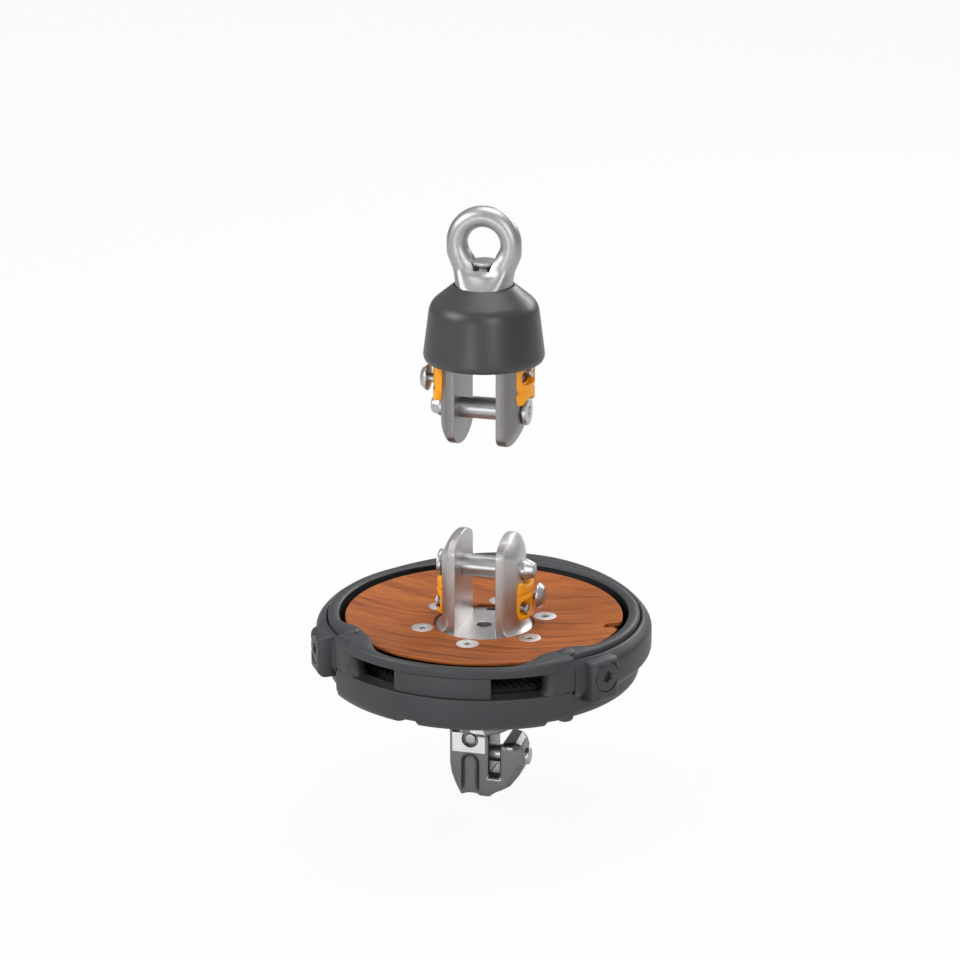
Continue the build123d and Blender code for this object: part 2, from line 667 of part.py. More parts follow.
tack_pin = chamfer(tack_pin.edges().filter_by(GeomType.CIRCLE), tack_pin_chamfer)
save("tack_pin", tack_pin)
save("tack_plunger", rod_y(plunger_d / 2, face_y + plunger_sunk, face_y + plunger_depth, plunger_x, plunger_z))
save("tack_plunger_spring", rod_y(plunger_d / 2 - spring_wire, bore_end - tack_spring_long, bore_end,
                                  plunger_x, plunger_z))

# Head swivel, hanging jaws down: fork and bearing housing below, cover and eye above
hang = Pos(0, 0, swivel_pin_z) * Rot(180, 0, 0)
swivel_base = swivel_pin_z - base_top
housing_low = swivel_base + flange_thick
swivel_rows = 2 * swivel_bearing_wide + bearing_space
housing_top = housing_low + swivel_rows
cover_low = swivel_pin_z + cover_low_above_pin
cover_shoulder = cover_low + cover_band_tall
cover_top = cover_shoulder + cover_cone_tall
shank_r = shank_d / 2
swivel_bore = swivel_bearing_outer_d / 2
swivel_nut_low = housing_low - swivel_nut_tall - nut_above
housing = rod(base_radius, swivel_base, housing_low) + rod(housing_radius, housing_low, housing_top)
housing = housing - rod(swivel_bore, housing_low, housing_top)
housing = housing + tube(swivel_bore + seat_fit, swivel_bore - bearing_race, housing_low + swivel_bearing_wide,
                         housing_top - swivel_bearing_wide)
housing = housing - rod(swivel_nut_across / sqrt(3) + 2 * free_gap, swivel_nut_low - free_gap, housing_low)
housing = housing - rod(centre_hole_d / 2, swivel_base, housing_low)
save("swivel_fork", hang * fork_jaws(-1) + housing)
save("swivel_clevis_pin", hang * mirror(clevis_pin(), about=Plane.YZ))
save("swivel_lock_right", hang * right_lock)
save("swivel_lock_left", hang * left_lock)
save("swivel_lock_screws", [hang * right_screw, hang * left_screw])
save("swivel_knob", hang * mirror(knob(), about=Plane.YZ))
save("swivel_knob_spring", hang * mirror(knob_spring(), about=Plane.YZ))
swivel_second = housing_low + swivel_bearing_wide + bearing_space
for name, low in (("lower", housing_low), ("upper", swivel_second)):
    inner_race, outer_race, balls = ball_bearing(shank_d, swivel_bearing_outer_d, swivel_bearing_wide,
                                                 low, ball_count)
    save("swivel_" + name + "_inner_race", inner_race)
    save("swivel_" + name + "_outer_race", outer_race)
    save("swivel_" + name + "_balls", balls)
save("swivel_nut", hexagon_nut(swivel_nut_across, shank_d + seat_fit, swivel_nut_low, swivel_nut_tall))
save("swivel_spacers", [tube(shank_r + bearing_race, shank_r + seat_fit / 2, low, high) for low, high in (
    (housing_low - nut_above, housing_low), (housing_low + swivel_bearing_wide, swivel_second))])

# Cover: one turned shell on the neck of the eye
neck_hole = eye_neck_radius + seat_fit
save("swivel_cover", turned([
    (cover_low_radius - cover_wall, cover_low), (cover_low_radius - cover_round, cover_low),
    (cover_low_radius, cover_low + cover_round), (cover_shoulder_radius, cover_shoulder),
    (cover_neck_radius, cover_top), (neck_hole, cover_top), (neck_hole, cover_top - cover_wall),
    (cover_shoulder_radius - cover_wall, cover_shoulder - cover_wall / 2)]))

# Eye: ring, neck and shank forged in one, with the keeper stud in the bottom of the ring
eye_z = cover_top + eye_above_cover
neck_low = housing_top + seat_fit
ring = Pos(0, 0, eye_z) * Rot(90, 0, 0) * Torus(eye_ring_radius, eye_wire_radius)
outer_eye = eye_ring_radius + eye_wire_radius
neck_base = cover_top - eye_collar_deep
neck_top = eye_z - eye_wire_radius / 2
neck = turned([(0, neck_base), (eye_neck_radius, neck_base), (eye_neck_radius, cover_top + 2 * eye_flank),
               (outer_eye - eye_flank, neck_top), (0, neck_top)])
flank_low = eye_neck_radius + eye_flank
flank_high = eye_wire_radius - eye_flank
flank = Plane.YZ * section([(-flank_low, neck_base - eye_flank), (flank_low, neck_base - eye_flank),
                            (flank_low, cover_top), (flank_high, neck_top + eye_flank),
                            (-flank_high, neck_top + eye_flank), (-flank_low, cover_top)])
neck = neck & extrude(flank, 2 * outer_eye, both=True)
neck = neck + rod(shank_r + bearing_race, neck_low, neck_base) + rod(shank_r, swivel_nut_low, neck_low)
hole_r = eye_ring_radius - eye_wire_radius
low_r = hole_r - eye_hole_taper
hole = make_hull((Pos(0, eye_z) * Circle(hole_r)).edges()
                 + (Pos(0, eye_z - eye_hole_low + low_r) * Circle(low_r)).edges())
hole = extrude(Plane.XZ * hole, 2 * outer_eye, both=True)
stud_top = eye_z - eye_hole_low + stud_up
stud_under = stud_top - stud_thick - stud_taper
stud_room = rod(stud_neck_d / 2 + run_fit, stud_top - stud_up - stud_root, eye_z)
stud_room = stud_room + rod(stud_d / 2 + free_gap, stud_under, eye_z)
save("swivel_eye", neck - hole + ring - stud_room)
stud_foot = stud_top - stud_up - stud_root + seat_fit
stud = turned([(0, stud_foot), (stud_neck_d / 2, stud_foot),
               (stud_neck_d / 2, stud_under), (stud_d / 2, stud_top - stud_thick),
               (stud_d / 2, stud_top), (0, stud_top)])
save("eye_stud", stud)
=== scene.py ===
import json
import math

import bmesh
import bpy
import numpy as np
from mathutils import Matrix, Vector


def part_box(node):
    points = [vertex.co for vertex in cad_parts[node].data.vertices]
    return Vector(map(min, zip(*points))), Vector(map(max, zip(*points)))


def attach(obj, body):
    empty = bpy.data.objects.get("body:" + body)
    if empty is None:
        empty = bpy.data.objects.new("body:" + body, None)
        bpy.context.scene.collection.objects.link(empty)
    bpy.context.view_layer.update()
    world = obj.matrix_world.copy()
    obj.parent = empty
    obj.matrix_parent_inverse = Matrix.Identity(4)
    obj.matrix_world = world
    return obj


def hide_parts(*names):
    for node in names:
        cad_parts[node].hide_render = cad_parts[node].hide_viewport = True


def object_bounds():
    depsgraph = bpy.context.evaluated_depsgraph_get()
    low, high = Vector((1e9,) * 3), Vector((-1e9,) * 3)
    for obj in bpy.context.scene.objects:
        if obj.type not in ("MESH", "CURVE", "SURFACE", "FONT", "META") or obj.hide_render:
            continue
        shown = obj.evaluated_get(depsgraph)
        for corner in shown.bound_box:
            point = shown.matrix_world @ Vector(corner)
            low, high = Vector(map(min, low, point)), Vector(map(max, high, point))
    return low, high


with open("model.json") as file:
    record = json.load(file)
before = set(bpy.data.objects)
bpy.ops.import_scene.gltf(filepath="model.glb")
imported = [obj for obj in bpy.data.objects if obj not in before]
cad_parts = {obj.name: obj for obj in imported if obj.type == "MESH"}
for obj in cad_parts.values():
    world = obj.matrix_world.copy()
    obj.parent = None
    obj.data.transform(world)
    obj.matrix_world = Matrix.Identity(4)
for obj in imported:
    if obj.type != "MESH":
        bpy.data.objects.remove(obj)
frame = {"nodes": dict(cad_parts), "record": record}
cad_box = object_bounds()
nodes = frame["nodes"]
scene = bpy.context.scene
scene.view_settings.view_transform = "Standard"


# The camera stands a little to the right of the line openings and looks down on the deck.
# A long lens from about two metres, as for a catalogue picture of small deck gear.
def add_object(name, data):
    made = bpy.data.objects.new(name, data)
    scene.collection.objects.link(made)
    return made


camera_azimuth = math.radians(15.0)
camera_tilt = math.radians(18.1)
camera_distance = 1.793
look_at = Vector((-0.0021, -0.0006, 0.1591))
away = Vector((math.sin(camera_azimuth) * math.cos(camera_tilt),
               -math.cos(camera_azimuth) * math.cos(camera_tilt), math.sin(camera_tilt)))
lens = bpy.data.cameras.new("camera")
lens.lens = 123.75
lens.sensor_width = 36.0
lens.clip_end = 20.0
camera = add_object("camera", lens)
camera.location = look_at + away * camera_distance
camera.rotation_euler = away.to_track_quat("Z", "Y").to_euler()
scene.camera = camera


# The studio: a pale floor under the tack hook and a white surround, which glow white for the camera.
# In reflections and as light on the part they are dimmer, so that metal and plastic show their form.
def add_node(tree, kind, inputs, operation=None, data_type=None):
    made = tree.nodes.new(kind)
    if operation:
        made.operation = operation
    if data_type:
        made.data_type = data_type
    for socket, value in inputs.items():
        if isinstance(value, bpy.types.NodeSocket):
            tree.links.new(value, made.inputs[socket])
        else:
            made.inputs[socket].default_value = value
    return made


def fresh_material(name):
    made = bpy.data.materials.new(name)
    made.use_nodes = True
    made.node_tree.nodes.clear()
    return made, made.node_tree


def seen_by_camera(tree):
    paths = add_node(tree, "ShaderNodeLightPath", {})
    seen = add_node(tree, "ShaderNodeMath", {0: paths.outputs["Is Camera Ray"],
                                             1: paths.outputs["Is Transmission Ray"]}, "MAXIMUM")
    return paths, seen.outputs[0]


floor_drop = 0.012
floor_reach = 4.0
floor_z = cad_box[0][2] - floor_drop
floor_mesh = bpy.data.meshes.new("floor")
floor_mesh.from_pydata([(x * floor_reach, y * floor_reach, floor_z)
                        for x, y in ((-1, -1), (1, -1), (1, 1), (-1, 1))], [], [(0, 1, 2, 3)])
floor = add_object("floor", floor_mesh)
floor_material, tree = fresh_material("pale_floor")
paths, seen = seen_by_camera(tree)
mirrored = add_node(tree, "ShaderNodeMath", {0: paths.outputs["Is Glossy Ray"], 1: 0.22}, "MULTIPLY")
share = add_node(tree, "ShaderNodeMath", {0: seen, 1: 0.93, 2: mirrored.outputs[0]}, "MULTIPLY_ADD")
paint = add_node(tree, "ShaderNodeBsdfDiffuse", {"Color": (0.62, 0.62, 0.62, 1)})
glow = add_node(tree, "ShaderNodeEmission", {"Strength": 1.0})
blend = add_node(tree, "ShaderNodeMixShader", {0: share.outputs[0], 1: paint.outputs[0], 2: glow.outputs[0]})
add_node(tree, "ShaderNodeOutputMaterial", {"Surface": blend.outputs[0]})
floor_mesh.materials.append(floor_material)

world = bpy.data.worlds.new("surround")
scene.world = world
world.use_nodes = True
tree = world.node_tree
tree.nodes.clear()
paths, seen = seen_by_camera(tree)
lean = add_node(tree, "ShaderNodeTexCoord", {})
split = add_node(tree, "ShaderNodeSeparateXYZ", {"Vector": lean.outputs["Generated"]})
fade = add_node(tree, "ShaderNodeMapRange", {"Value": split.outputs["Z"], "From Min": -0.2, "From Max": 0.9,
                                             "To Min": 0.2, "To Max": 0.62})
soft = add_node(tree, "ShaderNodeBackground", {"Color": (0.95, 0.96, 1.0, 1),
                                               "Strength": fade.outputs["Result"]})
white = add_node(tree, "ShaderNodeBackground", {"Strength": 1.0})
blend = add_node(tree, "ShaderNodeMixShader", {0: seen, 1: soft.outputs[0], 2: white.outputs[0]})
add_node(tree, "ShaderNodeOutputWorld", {"Surface": blend.outputs[0]})


# Five soft boxes: two large ones in front, one above, a strip behind and a small one low in front.
# All of them face the middle of the part.
def softbox(name, place, size, watts):
    lamp = bpy.data.lights.new(name, "AREA")
    lamp.shape = "RECTANGLE"
    lamp.size, lamp.size_y = size
    lamp.energy = watts
    held = add_object(name, lamp)
    held.location = place
    held.rotation_euler = (Vector(place) - lit_middle).to_track_quat("Z", "Y").to_euler()


lit_middle = Vector((0.0, 0.0, 0.15))
softbox("front_left_box", (-1.6, -1.1, 1.25), (1.2, 1.0), 26)
softbox("front_right_box", (0.95, -1.45, 0.8), (0.5, 1.1), 10)
softbox("top_box", (0.1, 0.3, 1.8), (1.2, 1.2), 16)
softbox("back_strip", (0.6, 1.6, 0.9), (1.4, 0.4), 12)
softbox("low_front_strip", (-0.3, -1.6, 0.05), (0.5, 0.5), 5)


# Upper rim: the ring over the gap beside the wood, moulded in glass-filled nylon with a fine texture.
# It is narrow along the front, swells inward over the wood at the two front corners,
# and carries a closed skirt beside and behind the line openings.
def noise(tree, vector, scale, detail):
    made = add_node(tree, "ShaderNodeTexNoise", {"Vector": vector, "Scale": scale, "Detail": detail})
    return made.outputs["Fac"]


def toned(tree, factor, dark, light):
    mixed = {"A": [*dark, 1], "B": [*light, 1], "Factor": factor}
    return add_node(tree, "ShaderNodeMix", mixed, data_type="RGBA").outputs["Result"]


def ranged(tree, value, low, high):
    made = add_node(tree, "ShaderNodeMapRange", {"Value": value, "To Min": low, "To Max": high})
    return made.outputs["Result"]


def bumped(tree, height, strength, distance):
    made = add_node(tree, "ShaderNodeBump", {"Height": height, "Strength": strength, "Distance": distance})
    return made.outputs["Normal"]


def surfaced(tree, inputs):
    shader = add_node(tree, "ShaderNodeBsdfPrincipled", inputs)
    add_node(tree, "ShaderNodeOutputMaterial", {"Surface": shader.outputs["BSDF"]})


mould_grain = 0.00045
mould_depth = 0.00002


def moulded_plastic(name, colour, roughness):
    made, tree = fresh_material(name)
    place = add_node(tree, "ShaderNodeTexCoord", {}).outputs["Object"]
    grain = noise(tree, place, 1 / mould_grain, 3.0)
    flow = noise(tree, place, 38.0, 4.0)
    surfaced(tree, {"Base Color": toned(tree, flow, [c * 0.86 for c in colour], [c * 1.12 for c in colour]),
                    "Roughness": ranged(tree, flow, roughness - 0.05, roughness + 0.07),
                    "Normal": bumped(tree, grain, 0.35, mould_depth)})
    return made


MM = 0.001
weld = 2e-6


def rounded(corners, steps=4):
    """A closed loop of (radius, height) whose corners are rounded by short curves."""
    loop = []
    for i, (r, z, soft) in enumerate(corners):
        if soft == 0:
            loop.append((r, z))
            continue
        ends = []
        for other in (corners[i - 1], corners[(i + 1) % len(corners)]):
            run = math.hypot(other[0] - r, other[1] - z)
            share = min(0.49, soft / max(run, 1e-6))
            ends.append((r + (other[0] - r) * share, z + (other[1] - z) * share))
        for k in range(steps + 1):
            t = k / steps
            loop.append(tuple((1 - t) ** 2 * ends[0][j] + 2 * t * (1 - t) * (r, z)[j] + t * t * ends[1][j]
                              for j in (0, 1)))
    return loop


def smooth_step(low, high, value):
    t = min(1.0, max(0.0, (value - low) / (high - low)))
    return t * t * (3 - 2 * t)


def finish_mesh(mesh, sharp=35):
    shape = bmesh.new()
    shape.from_mesh(mesh)
    bmesh.ops.remove_doubles(shape, verts=shape.verts, dist=weld)
    bmesh.ops.recalc_face_normals(shape, faces=shape.faces)
    shape.to_mesh(mesh)
    shape.free()
    for face in mesh.polygons:
        face.use_smooth = True
    mesh.set_sharp_from_angle(angle=math.radians(sharp))


def mesh_of(shape, name):
    mesh = bpy.data.meshes.new(name)
    shape.to_mesh(mesh)
    shape.free()
    return mesh


def new_piece(name, points, faces, material, sharp=35):
    mesh = bpy.data.meshes.new(name)
    mesh.from_pydata([(x * MM, y * MM, z * MM) for x, y, z in points], [], faces)
    mesh.materials.append(material)
    finish_mesh(mesh, sharp)
    return add_object(name, mesh)


def skinned(name, loops, material, closed, sharp):
    """Joins loops of points to one skin, either closed round or with a face at each end."""
    rows, size = len(loops), len(loops[0])
    faces = []
    for i in range(rows if closed else rows - 1):
        j = (i + 1) % rows
        for k in range(size):
            m = (k + 1) % size
            faces.append((i * size + k, j * size + k, j * size + m, i * size + m))
    if not closed:
        faces.append(tuple(range(size)))
        faces.append(tuple(range((rows - 1) * size, rows * size)))
    return new_piece(name, sum(loops, []), faces, material, sharp)


def swept(name, section_at, angles, material, closed=True, sharp=35):
    """Carries a section round the stay axis; section_at gives its loop at each angle."""
    loops = []
    for angle in angles:
        turn = math.radians(angle)
        loops.append([(r * math.cos(turn), r * math.sin(turn), z) for r, z in section_at(angle)])
    return skinned(name, loops, material, closed, sharp)


def from_front(angle):
    return abs((angle + 90 + 180) % 360 - 180)


def front_weight(angle):
    return 1 - smooth_step(seam_half_angle - 0.1, seam_half_angle + 0.1, from_front(angle))


def ring_angles(extra):
    return sorted({round(angle % 360, 3) for angle in [1.5 * i for i in range(240)] + extra})


def span(node, axis):
    """The low and the high end of a CAD node along an axis, in millimetres."""
    return [corner[axis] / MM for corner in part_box(node)]


slot_low, slot_high = span("line_block", 2)
rim_radius = span("upper_rim", 0)[1]
front_radius = -span("lower_bowl", 1)[0]
wood_radius = span("deck_disc", 0)[1]
wood_edge_top = span("deck_disc", 2)[1]
deck_z = span("deck_screws", 2)[1]
rim_top = deck_z + 7.4
rim_gap = 7.4
rim_width = 4.2
wall_swell = 2.8
seam_half_angle = 47.0
gate_half_angle = 40.4
frame_grey = moulded_plastic("frame_grey", (0.028, 0.030, 0.033), 0.46)


def rim_section(angle):
    front = front_weight(angle)
    off = from_front(angle)
    outer = rim_radius + (front_radius - rim_radius) * front
    corner = smooth_step(27, 41, off) * (1 - smooth_step(52, 64, off))
    inner = wood_radius + rim_gap - rim_width * smooth_step(18, 60, off) - 6.6 * corner
    dip = 1.6 * (1 - smooth_step(20, 40, off))
    top = rim_top + 0.7 * corner
    shelf = wood_edge_top + 0.6 - dip
    low = slot_low if off > gate_half_angle else slot_high
    wall = wood_radius + rim_width + wall_swell * (1 - smooth_step(20, 36, off))
    return rounded([(wall, shelf, 0.3), (wall, low, 0.4), (outer, low, 0.8), (outer, top, 3.6),
                    ((outer + inner) / 2, top + 0.3 - 0.4 * dip, 1.0), (inner, top - 0.4 - dip, 1.7),
                    (inner, shelf, 0.5)])


seam_steps = [side * (edge + step) - 90 for side in (-1, 1) for edge, steps in
              ((seam_half_angle, (-0.3, -0.1, 0.1, 0.3)), (gate_half_angle, (-0.02, 0.02)))
              for step in steps]
upper_rim = swept("upper_rim_moulding", rim_section, ring_angles(seam_steps), frame_grey)
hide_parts("upper_rim")
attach(upper_rim, "frame")


# Two round bumps on the swelled corners, moulded with the rim.
# They are low domes over the screw bosses below.
def lathed(name, profile, material, segments=128, sharp=35):
    return swept(name, lambda angle: profile, [360 * i / segments for i in range(segments)], material,
                 sharp=sharp)


def round_spot(radius, angle, unit=1.0):
    turn = math.radians(angle)
    return (radius * math.cos(turn) * unit, radius * math.sin(turn) * unit, 0)


dome_radius, dome_height = 4.6, 1.9
dome_ring, dome_angle = 80.5, 48
dome_turns = [math.radians(5 * k) for k in range(19)]
dome = [(dome_radius * math.cos(turn), rim_top + 0.5 + dome_height * math.sin(turn)) for turn in dome_turns]
dome += [(0.01, rim_top - 1.5), (dome_radius, rim_top - 1.5)]
for side, word in ((-1, "left"), (1, "right")):
    bump = lathed("rim_bump_" + word, dome, frame_grey, 48)
    bump.data.transform(Matrix.Translation(round_spot(dome_ring, -90 + dome_angle * side, MM)))
    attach(bump, "frame")


# Lower bowl: the moulded tub under the sheave, wider along the front.
# Its outer wall turns in at the bottom, with two shallow notches in its foot.
# Six small screws come up through the foot, and two pin holes mark each seam.
def made_plain(target):
    """Turns an object's modifiers into its mesh."""
    bpy.context.view_layer.update()
    ready = target.evaluated_get(bpy.context.evaluated_depsgraph_get())
    mesh = bpy.data.meshes.new_from_object(ready)
    target.modifiers.clear()
    target.data = mesh


def cut(target, tools):
    for tool in tools:
        step = target.modifiers.new("cut", "BOOLEAN")
        step.operation = "DIFFERENCE"
        step.solver = "EXACT"
        step.object = tool
    made_plain(target)
    for tool in tools:
        bpy.data.objects.remove(tool)


def cylinder_tool(radius, start, end, axis="X", at=(0.0, 0.0, 0.0), segments=64):
    shape = bmesh.new()
    bmesh.ops.create_cone(shape, cap_ends=True, segments=segments, radius1=radius * MM, radius2=radius * MM,
                          depth=(end - start) * MM)
    mesh = mesh_of(shape, "drill")
    mesh.transform(Matrix.Translation((0, 0, (start + end) / 2 * MM)))
    if axis == "X":
        mesh.transform(Matrix.Rotation(math.pi / 2, 4, "Y"))
    if axis == "Y":
        mesh.transform(Matrix.Rotation(-math.pi / 2, 4, "X"))
    mesh.transform(Matrix.Translation([v * MM for v in at]))
    return add_object("drill", mesh)


ring_low = slot_low - 15.8
bowl_low = ring_low - 4.6
boss_low = span("lower_bowl", 2)[0]
boss_bore = 10.2
tub_radius = 80.6
tub_floor = 47.4
foot_notches = (-103.0, -49.0)
foot_half_width = 3.6


def bowl_section(angle):
    outer = rim_radius + (front_radius - rim_radius) * front_weight(angle)
    foot = 0.0
    for middle in foot_notches:
        foot += 1 - smooth_step(foot_half_width, 4.4, abs((angle - middle + 180) % 360 - 180))
    low = bowl_low + 2.0 * foot
    return rounded([(boss_bore, boss_low, 0.5), (24, boss_low, 1.5), (58, bowl_low, 6),
                    (outer - 10.5, low, 3.5), (outer - 3.2, low + 2.2, 2.2), (outer, ring_low + 1.5, 3.0),
                    (outer, slot_low, 0.7), (tub_radius, slot_low, 0.6), (tub_radius, 52.5, 3),
                    (76, tub_floor, 3), (56, tub_floor, 3), (30, 40, 3), (boss_bore, 40, 0.4)])


notch_steps = [middle + side * (foot_half_width + 0.1 * k) for middle in foot_notches
               for side in (-1, 1) for k in range(0, 9, 2)]
bowl = swept("lower_bowl_moulding", bowl_section, ring_angles(seam_steps + notch_steps), frame_grey)
frame_screw_ring = rim_radius - 4.6
frame_screw_high = ring_low + 0.4
frame_screw_angles = [36 * i for i in range(6)]
cut(bowl, [cylinder_tool(3.0, bowl_low - 3, frame_screw_high, "Z", round_spot(frame_screw_ring, angle))
           for angle in frame_screw_angles])
seam_holes = []
for side in (-1, 1):
    for height in (slot_low - 1.0, ring_low + 2.0):
        hole = cylinder_tool(0.9, front_radius - 3.5, front_radius + 2, at=(0, 0, height), segments=24)
        hole.data.transform(Matrix.Rotation(math.radians(-90 + (seam_half_angle - 0.3) * side), 4, "Z"))
        seam_holes.append(hole)
cut(bowl, seam_holes)
finish_mesh(bowl.data)
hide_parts("lower_bowl")
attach(bowl, "frame")

# Line posts: the two smooth bollards the furling line bears on, flared where they join rim and bowl.
# They are moulded with the frame and don't stand out past the bowl's front.
post_waist, post_flare = 5.5, 1.6
post_angle = 40.2
post_ring = (tub_radius + front_radius) / 2 - 0.6
post_limit = (front_radius - 0.05) * MM
post_half = (slot_high - slot_low) / 2
post_profile = [(post_waist + post_flare * (abs(k) / 6) ** 3, slot_low + post_half + post_half * k / 6 * 1.02)
                for k in range(-6, 7)] + [(0.01, slot_high), (0.01, slot_low)]
for side, word in ((-1, "left"), (1, "right")):
    post = lathed("line_post_" + word, post_profile, frame_grey, 64, 60)
    post.data.transform(Matrix.Translation(round_spot(post_ring, -90 + post_angle * side, MM)))
    for corner in post.data.vertices:
        inside = min(1.0, post_limit / math.hypot(corner.co.x, corner.co.y))
        corner.co.x *= inside
        corner.co.y *= inside
    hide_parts("line_posts")
    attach(post, "frame")

# Rear hoop: the moulded guard behind the drum, from side pad to side pad.
# It stands further out and a little higher at the back, with bevelled edges.
hoop_inner = rim_radius + 0.1
hoop_low = slot_high - 20.2
hoop_start = seam_half_angle + 0.25
hoop_turn = [-90 + hoop_start + i * (360 - 2 * hoop_start) / 180 for i in range(181)]


def hoop_section(angle):
    off = from_front(angle)
    back = max(0.0, math.cos(math.radians(180 - off))) ** 4
    outer = front_radius + (rim_radius + 6.4 - front_radius) * smooth_step(48, 60, off) + 5.6 * back
    top = slot_high + 4.2 + 3.0 * back
    return rounded([(hoop_inner, hoop_low, 0.5), (outer - 6.4, hoop_low, 2.2),
                    (outer, slot_high - 14.0, 2.6), (outer, top - 4.8, 2.6), (outer - 4.4, top, 2.0),
                    (hoop_inner + 0.6, top - 0.6, 0.7), (hoop_inner, top - 1.6, 0.3)])


hoop = swept("rear_hoop_moulding", hoop_section, hoop_turn, frame_grey, closed=False)
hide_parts("rear_hoop")
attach(hoop, "frame")


# The two pads that end the hoop, each a block with a wide bevel round its face.
# A large dark screw with a star recess clamps each one through the skirt.
def bevelled_block(name, low, high, bevel, material, rounding):
    shape = bmesh.new()
    bmesh.ops.create_cube(shape, size=1.0)
    for corner in shape.verts:
        for axis in range(3):
            corner.co[axis] = (low[axis] if corner.co[axis] < 0 else high[axis]) * MM
    face = max(shape.faces, key=lambda f: f.calc_center_median().x)
    bmesh.ops.bevel(shape, geom=list(face.edges), offset=bevel * MM, segments=1, profile=0.5,
                    affect="EDGES", clamp_overlap=True)
    sharp_edges = [e for e in shape.edges if e.calc_face_angle(0) > math.radians(20)]
    bmesh.ops.bevel(shape, geom=sharp_edges, offset=rounding * MM, segments=3, profile=0.5,
                    affect="EDGES", clamp_overlap=True)
    mesh = mesh_of(shape, name)
    mesh.materials.append(material)
    finish_mesh(mesh)
    return add_object(name, mesh)


pad_height = deck_z - 8.0
pad_half_width = 9.5
pad_below, pad_above = 11.0, 12.3
pad_bevel, pad_rounding = 2.2, 1.1
pad_angle = 58
pad_reach = rim_radius + 10.6
side_screw_height = pad_height + 2.9
side_screw_radius, side_screw_room = 8.0, 0.3
for side, word in ((-1, "left"), (1, "right")):
    pad = bevelled_block("hoop_pad_" + word, (rim_radius - 3, -pad_half_width, pad_height - pad_below),
                         (pad_reach, pad_half_width, pad_height + pad_above), pad_bevel, frame_grey,
                         pad_rounding)
    cut(pad, [cylinder_tool(side_screw_radius + side_screw_room, pad_reach - 4.0, pad_reach + 4,
                            at=(0, 0, side_screw_height))])
    pad.data.transform(Matrix.Rotation(math.radians(-90 + pad_angle * side), 4, "Z"))
    finish_mesh(pad.data)
    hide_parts("rear_hoop")
    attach(pad, "frame")


# Forks: two jaws each, turned and milled from one bar of stainless steel with a fine brushed finish.
# The inner faces are flat, the outer ones swell in the middle, and the tips are arched.
# Each jaw is drilled for the clevis pin and the lock screw, and one of the two for the knob as well.
def stainless(name, colour, roughness, brush=(60, 60, 900), wear=0.06, depth=0.000006):
    made, tree = fresh_material(name)
    place = add_node(tree, "ShaderNodeTexCoord", {}).outputs["Object"]
    stretched = add_node(tree, "ShaderNodeMapping", {"Vector": place, "Scale": brush}).outputs["Vector"]
    lines = noise(tree, stretched, 3.0, 4.0)
    clouds = noise(tree, place, 120.0, 3.0)
    surfaced(tree, {"Metallic": 1.0, "Normal": bumped(tree, lines, 0.4, depth),
                    "Base Color": toned(tree, clouds, [c * 0.9 for c in colour],
                                        [min(1.0, c * 1.08) for c in colour]),
                    "Roughness": ranged(tree, clouds, max(0.05, roughness - wear), roughness + wear)})
    return made


frame_body = {}
for body, held_nodes in frame["record"]["behaviour"]["bodies"].items():
    for held in held_nodes:
        frame_body[held] = body

# turned_painted_shade: the drum fork's turned steel darkened, painted shade for the swivel jaws that hang in
# the shadow of the cover.
turned_painted_shade = stainless("turned_painted_shade", (0.25, 0.24, 0.235), 0.38, (40, 40, 500), 0.03, 0.000001)
turned = stainless("turned", (0.56, 0.54, 0.53), 0.40, (40, 40, 500), 0.03, 0.000001)
fork_mid_thick = 11.2
fork_edge_thick = 4.6
fork_half_depth = 19.1
fork_gap_half = 11.4
fork_base_radius = 27.4
pin_above_base = 34.1
jaw_shoulder, jaw_peak = 13.3, 19.5
jaw_flare_high = 6.5
jaw_foot_radius = 27.2
jaw_edge_break, jaw_edge_wide = 0.55, 0.9
pin_bore, lock_screw_bore, knob_bore = 6.05, 2.0, 2.55
jaw_depths = [0.0, 0.15, 0.45, 0.9, 1.6, 2.6, 4.0, 5.6, 7.5, 9.6, 12.0, 14.6, 17.0, fork_half_depth]
lock_screw_y, lock_screw_z = -3.0, -21.5
knob_shaft_y, knob_shaft_z = 8.6, -17.5


def jaw_outline():
    arch_radius = (fork_half_depth ** 2 + (jaw_peak - jaw_shoulder) ** 2) / (2 * (jaw_peak - jaw_shoulder))
    arch_half = math.asin(fork_half_depth / arch_radius)
    corners = [(-fork_half_depth, -pin_above_base, 0), (-fork_half_depth, jaw_shoulder - 0.4, 1.9)]
    for k in range(1, 12):
        swing = arch_half * (k / 6 - 1)
        corners.append((arch_radius * math.sin(swing), jaw_peak - arch_radius * (1 - math.cos(swing)), 0))
    corners += [(fork_half_depth, jaw_shoulder - 0.4, 1.9), (fork_half_depth, -pin_above_base, 0)]
    raw = rounded(corners, 5)
    outline = []
    for a, b in zip(raw, raw[1:]):
        pieces = max(1, round(math.dist(a, b) / 1.6))
        outline += [(a[0] + (b[0] - a[0]) * i / pieces, a[1] + (b[1] - a[1]) * i / pieces)
                    for i in range(pieces)]
    return outline + [raw[-1]]


def jaw_thickness(y, z, depth):
    """Grows with the depth behind the jaw's edge; near the base it swells to a round foot."""
    rim = 1 - min(1.0, depth / fork_half_depth)
    thick = fork_edge_thick + (fork_mid_thick - fork_edge_thick) * (1 - rim ** 2.5)
    thick -= jaw_edge_break * max(0.0, 1 - depth / jaw_edge_wide) ** 2
    low = z + pin_above_base
    if low < jaw_flare_high:
        spread = (jaw_flare_high - low) / jaw_flare_high
        round_out = math.sqrt(max(0.0, jaw_foot_radius ** 2 - y ** 2)) - fork_gap_half
        thick += (round_out - thick) * spread ** 2.6
    return thick


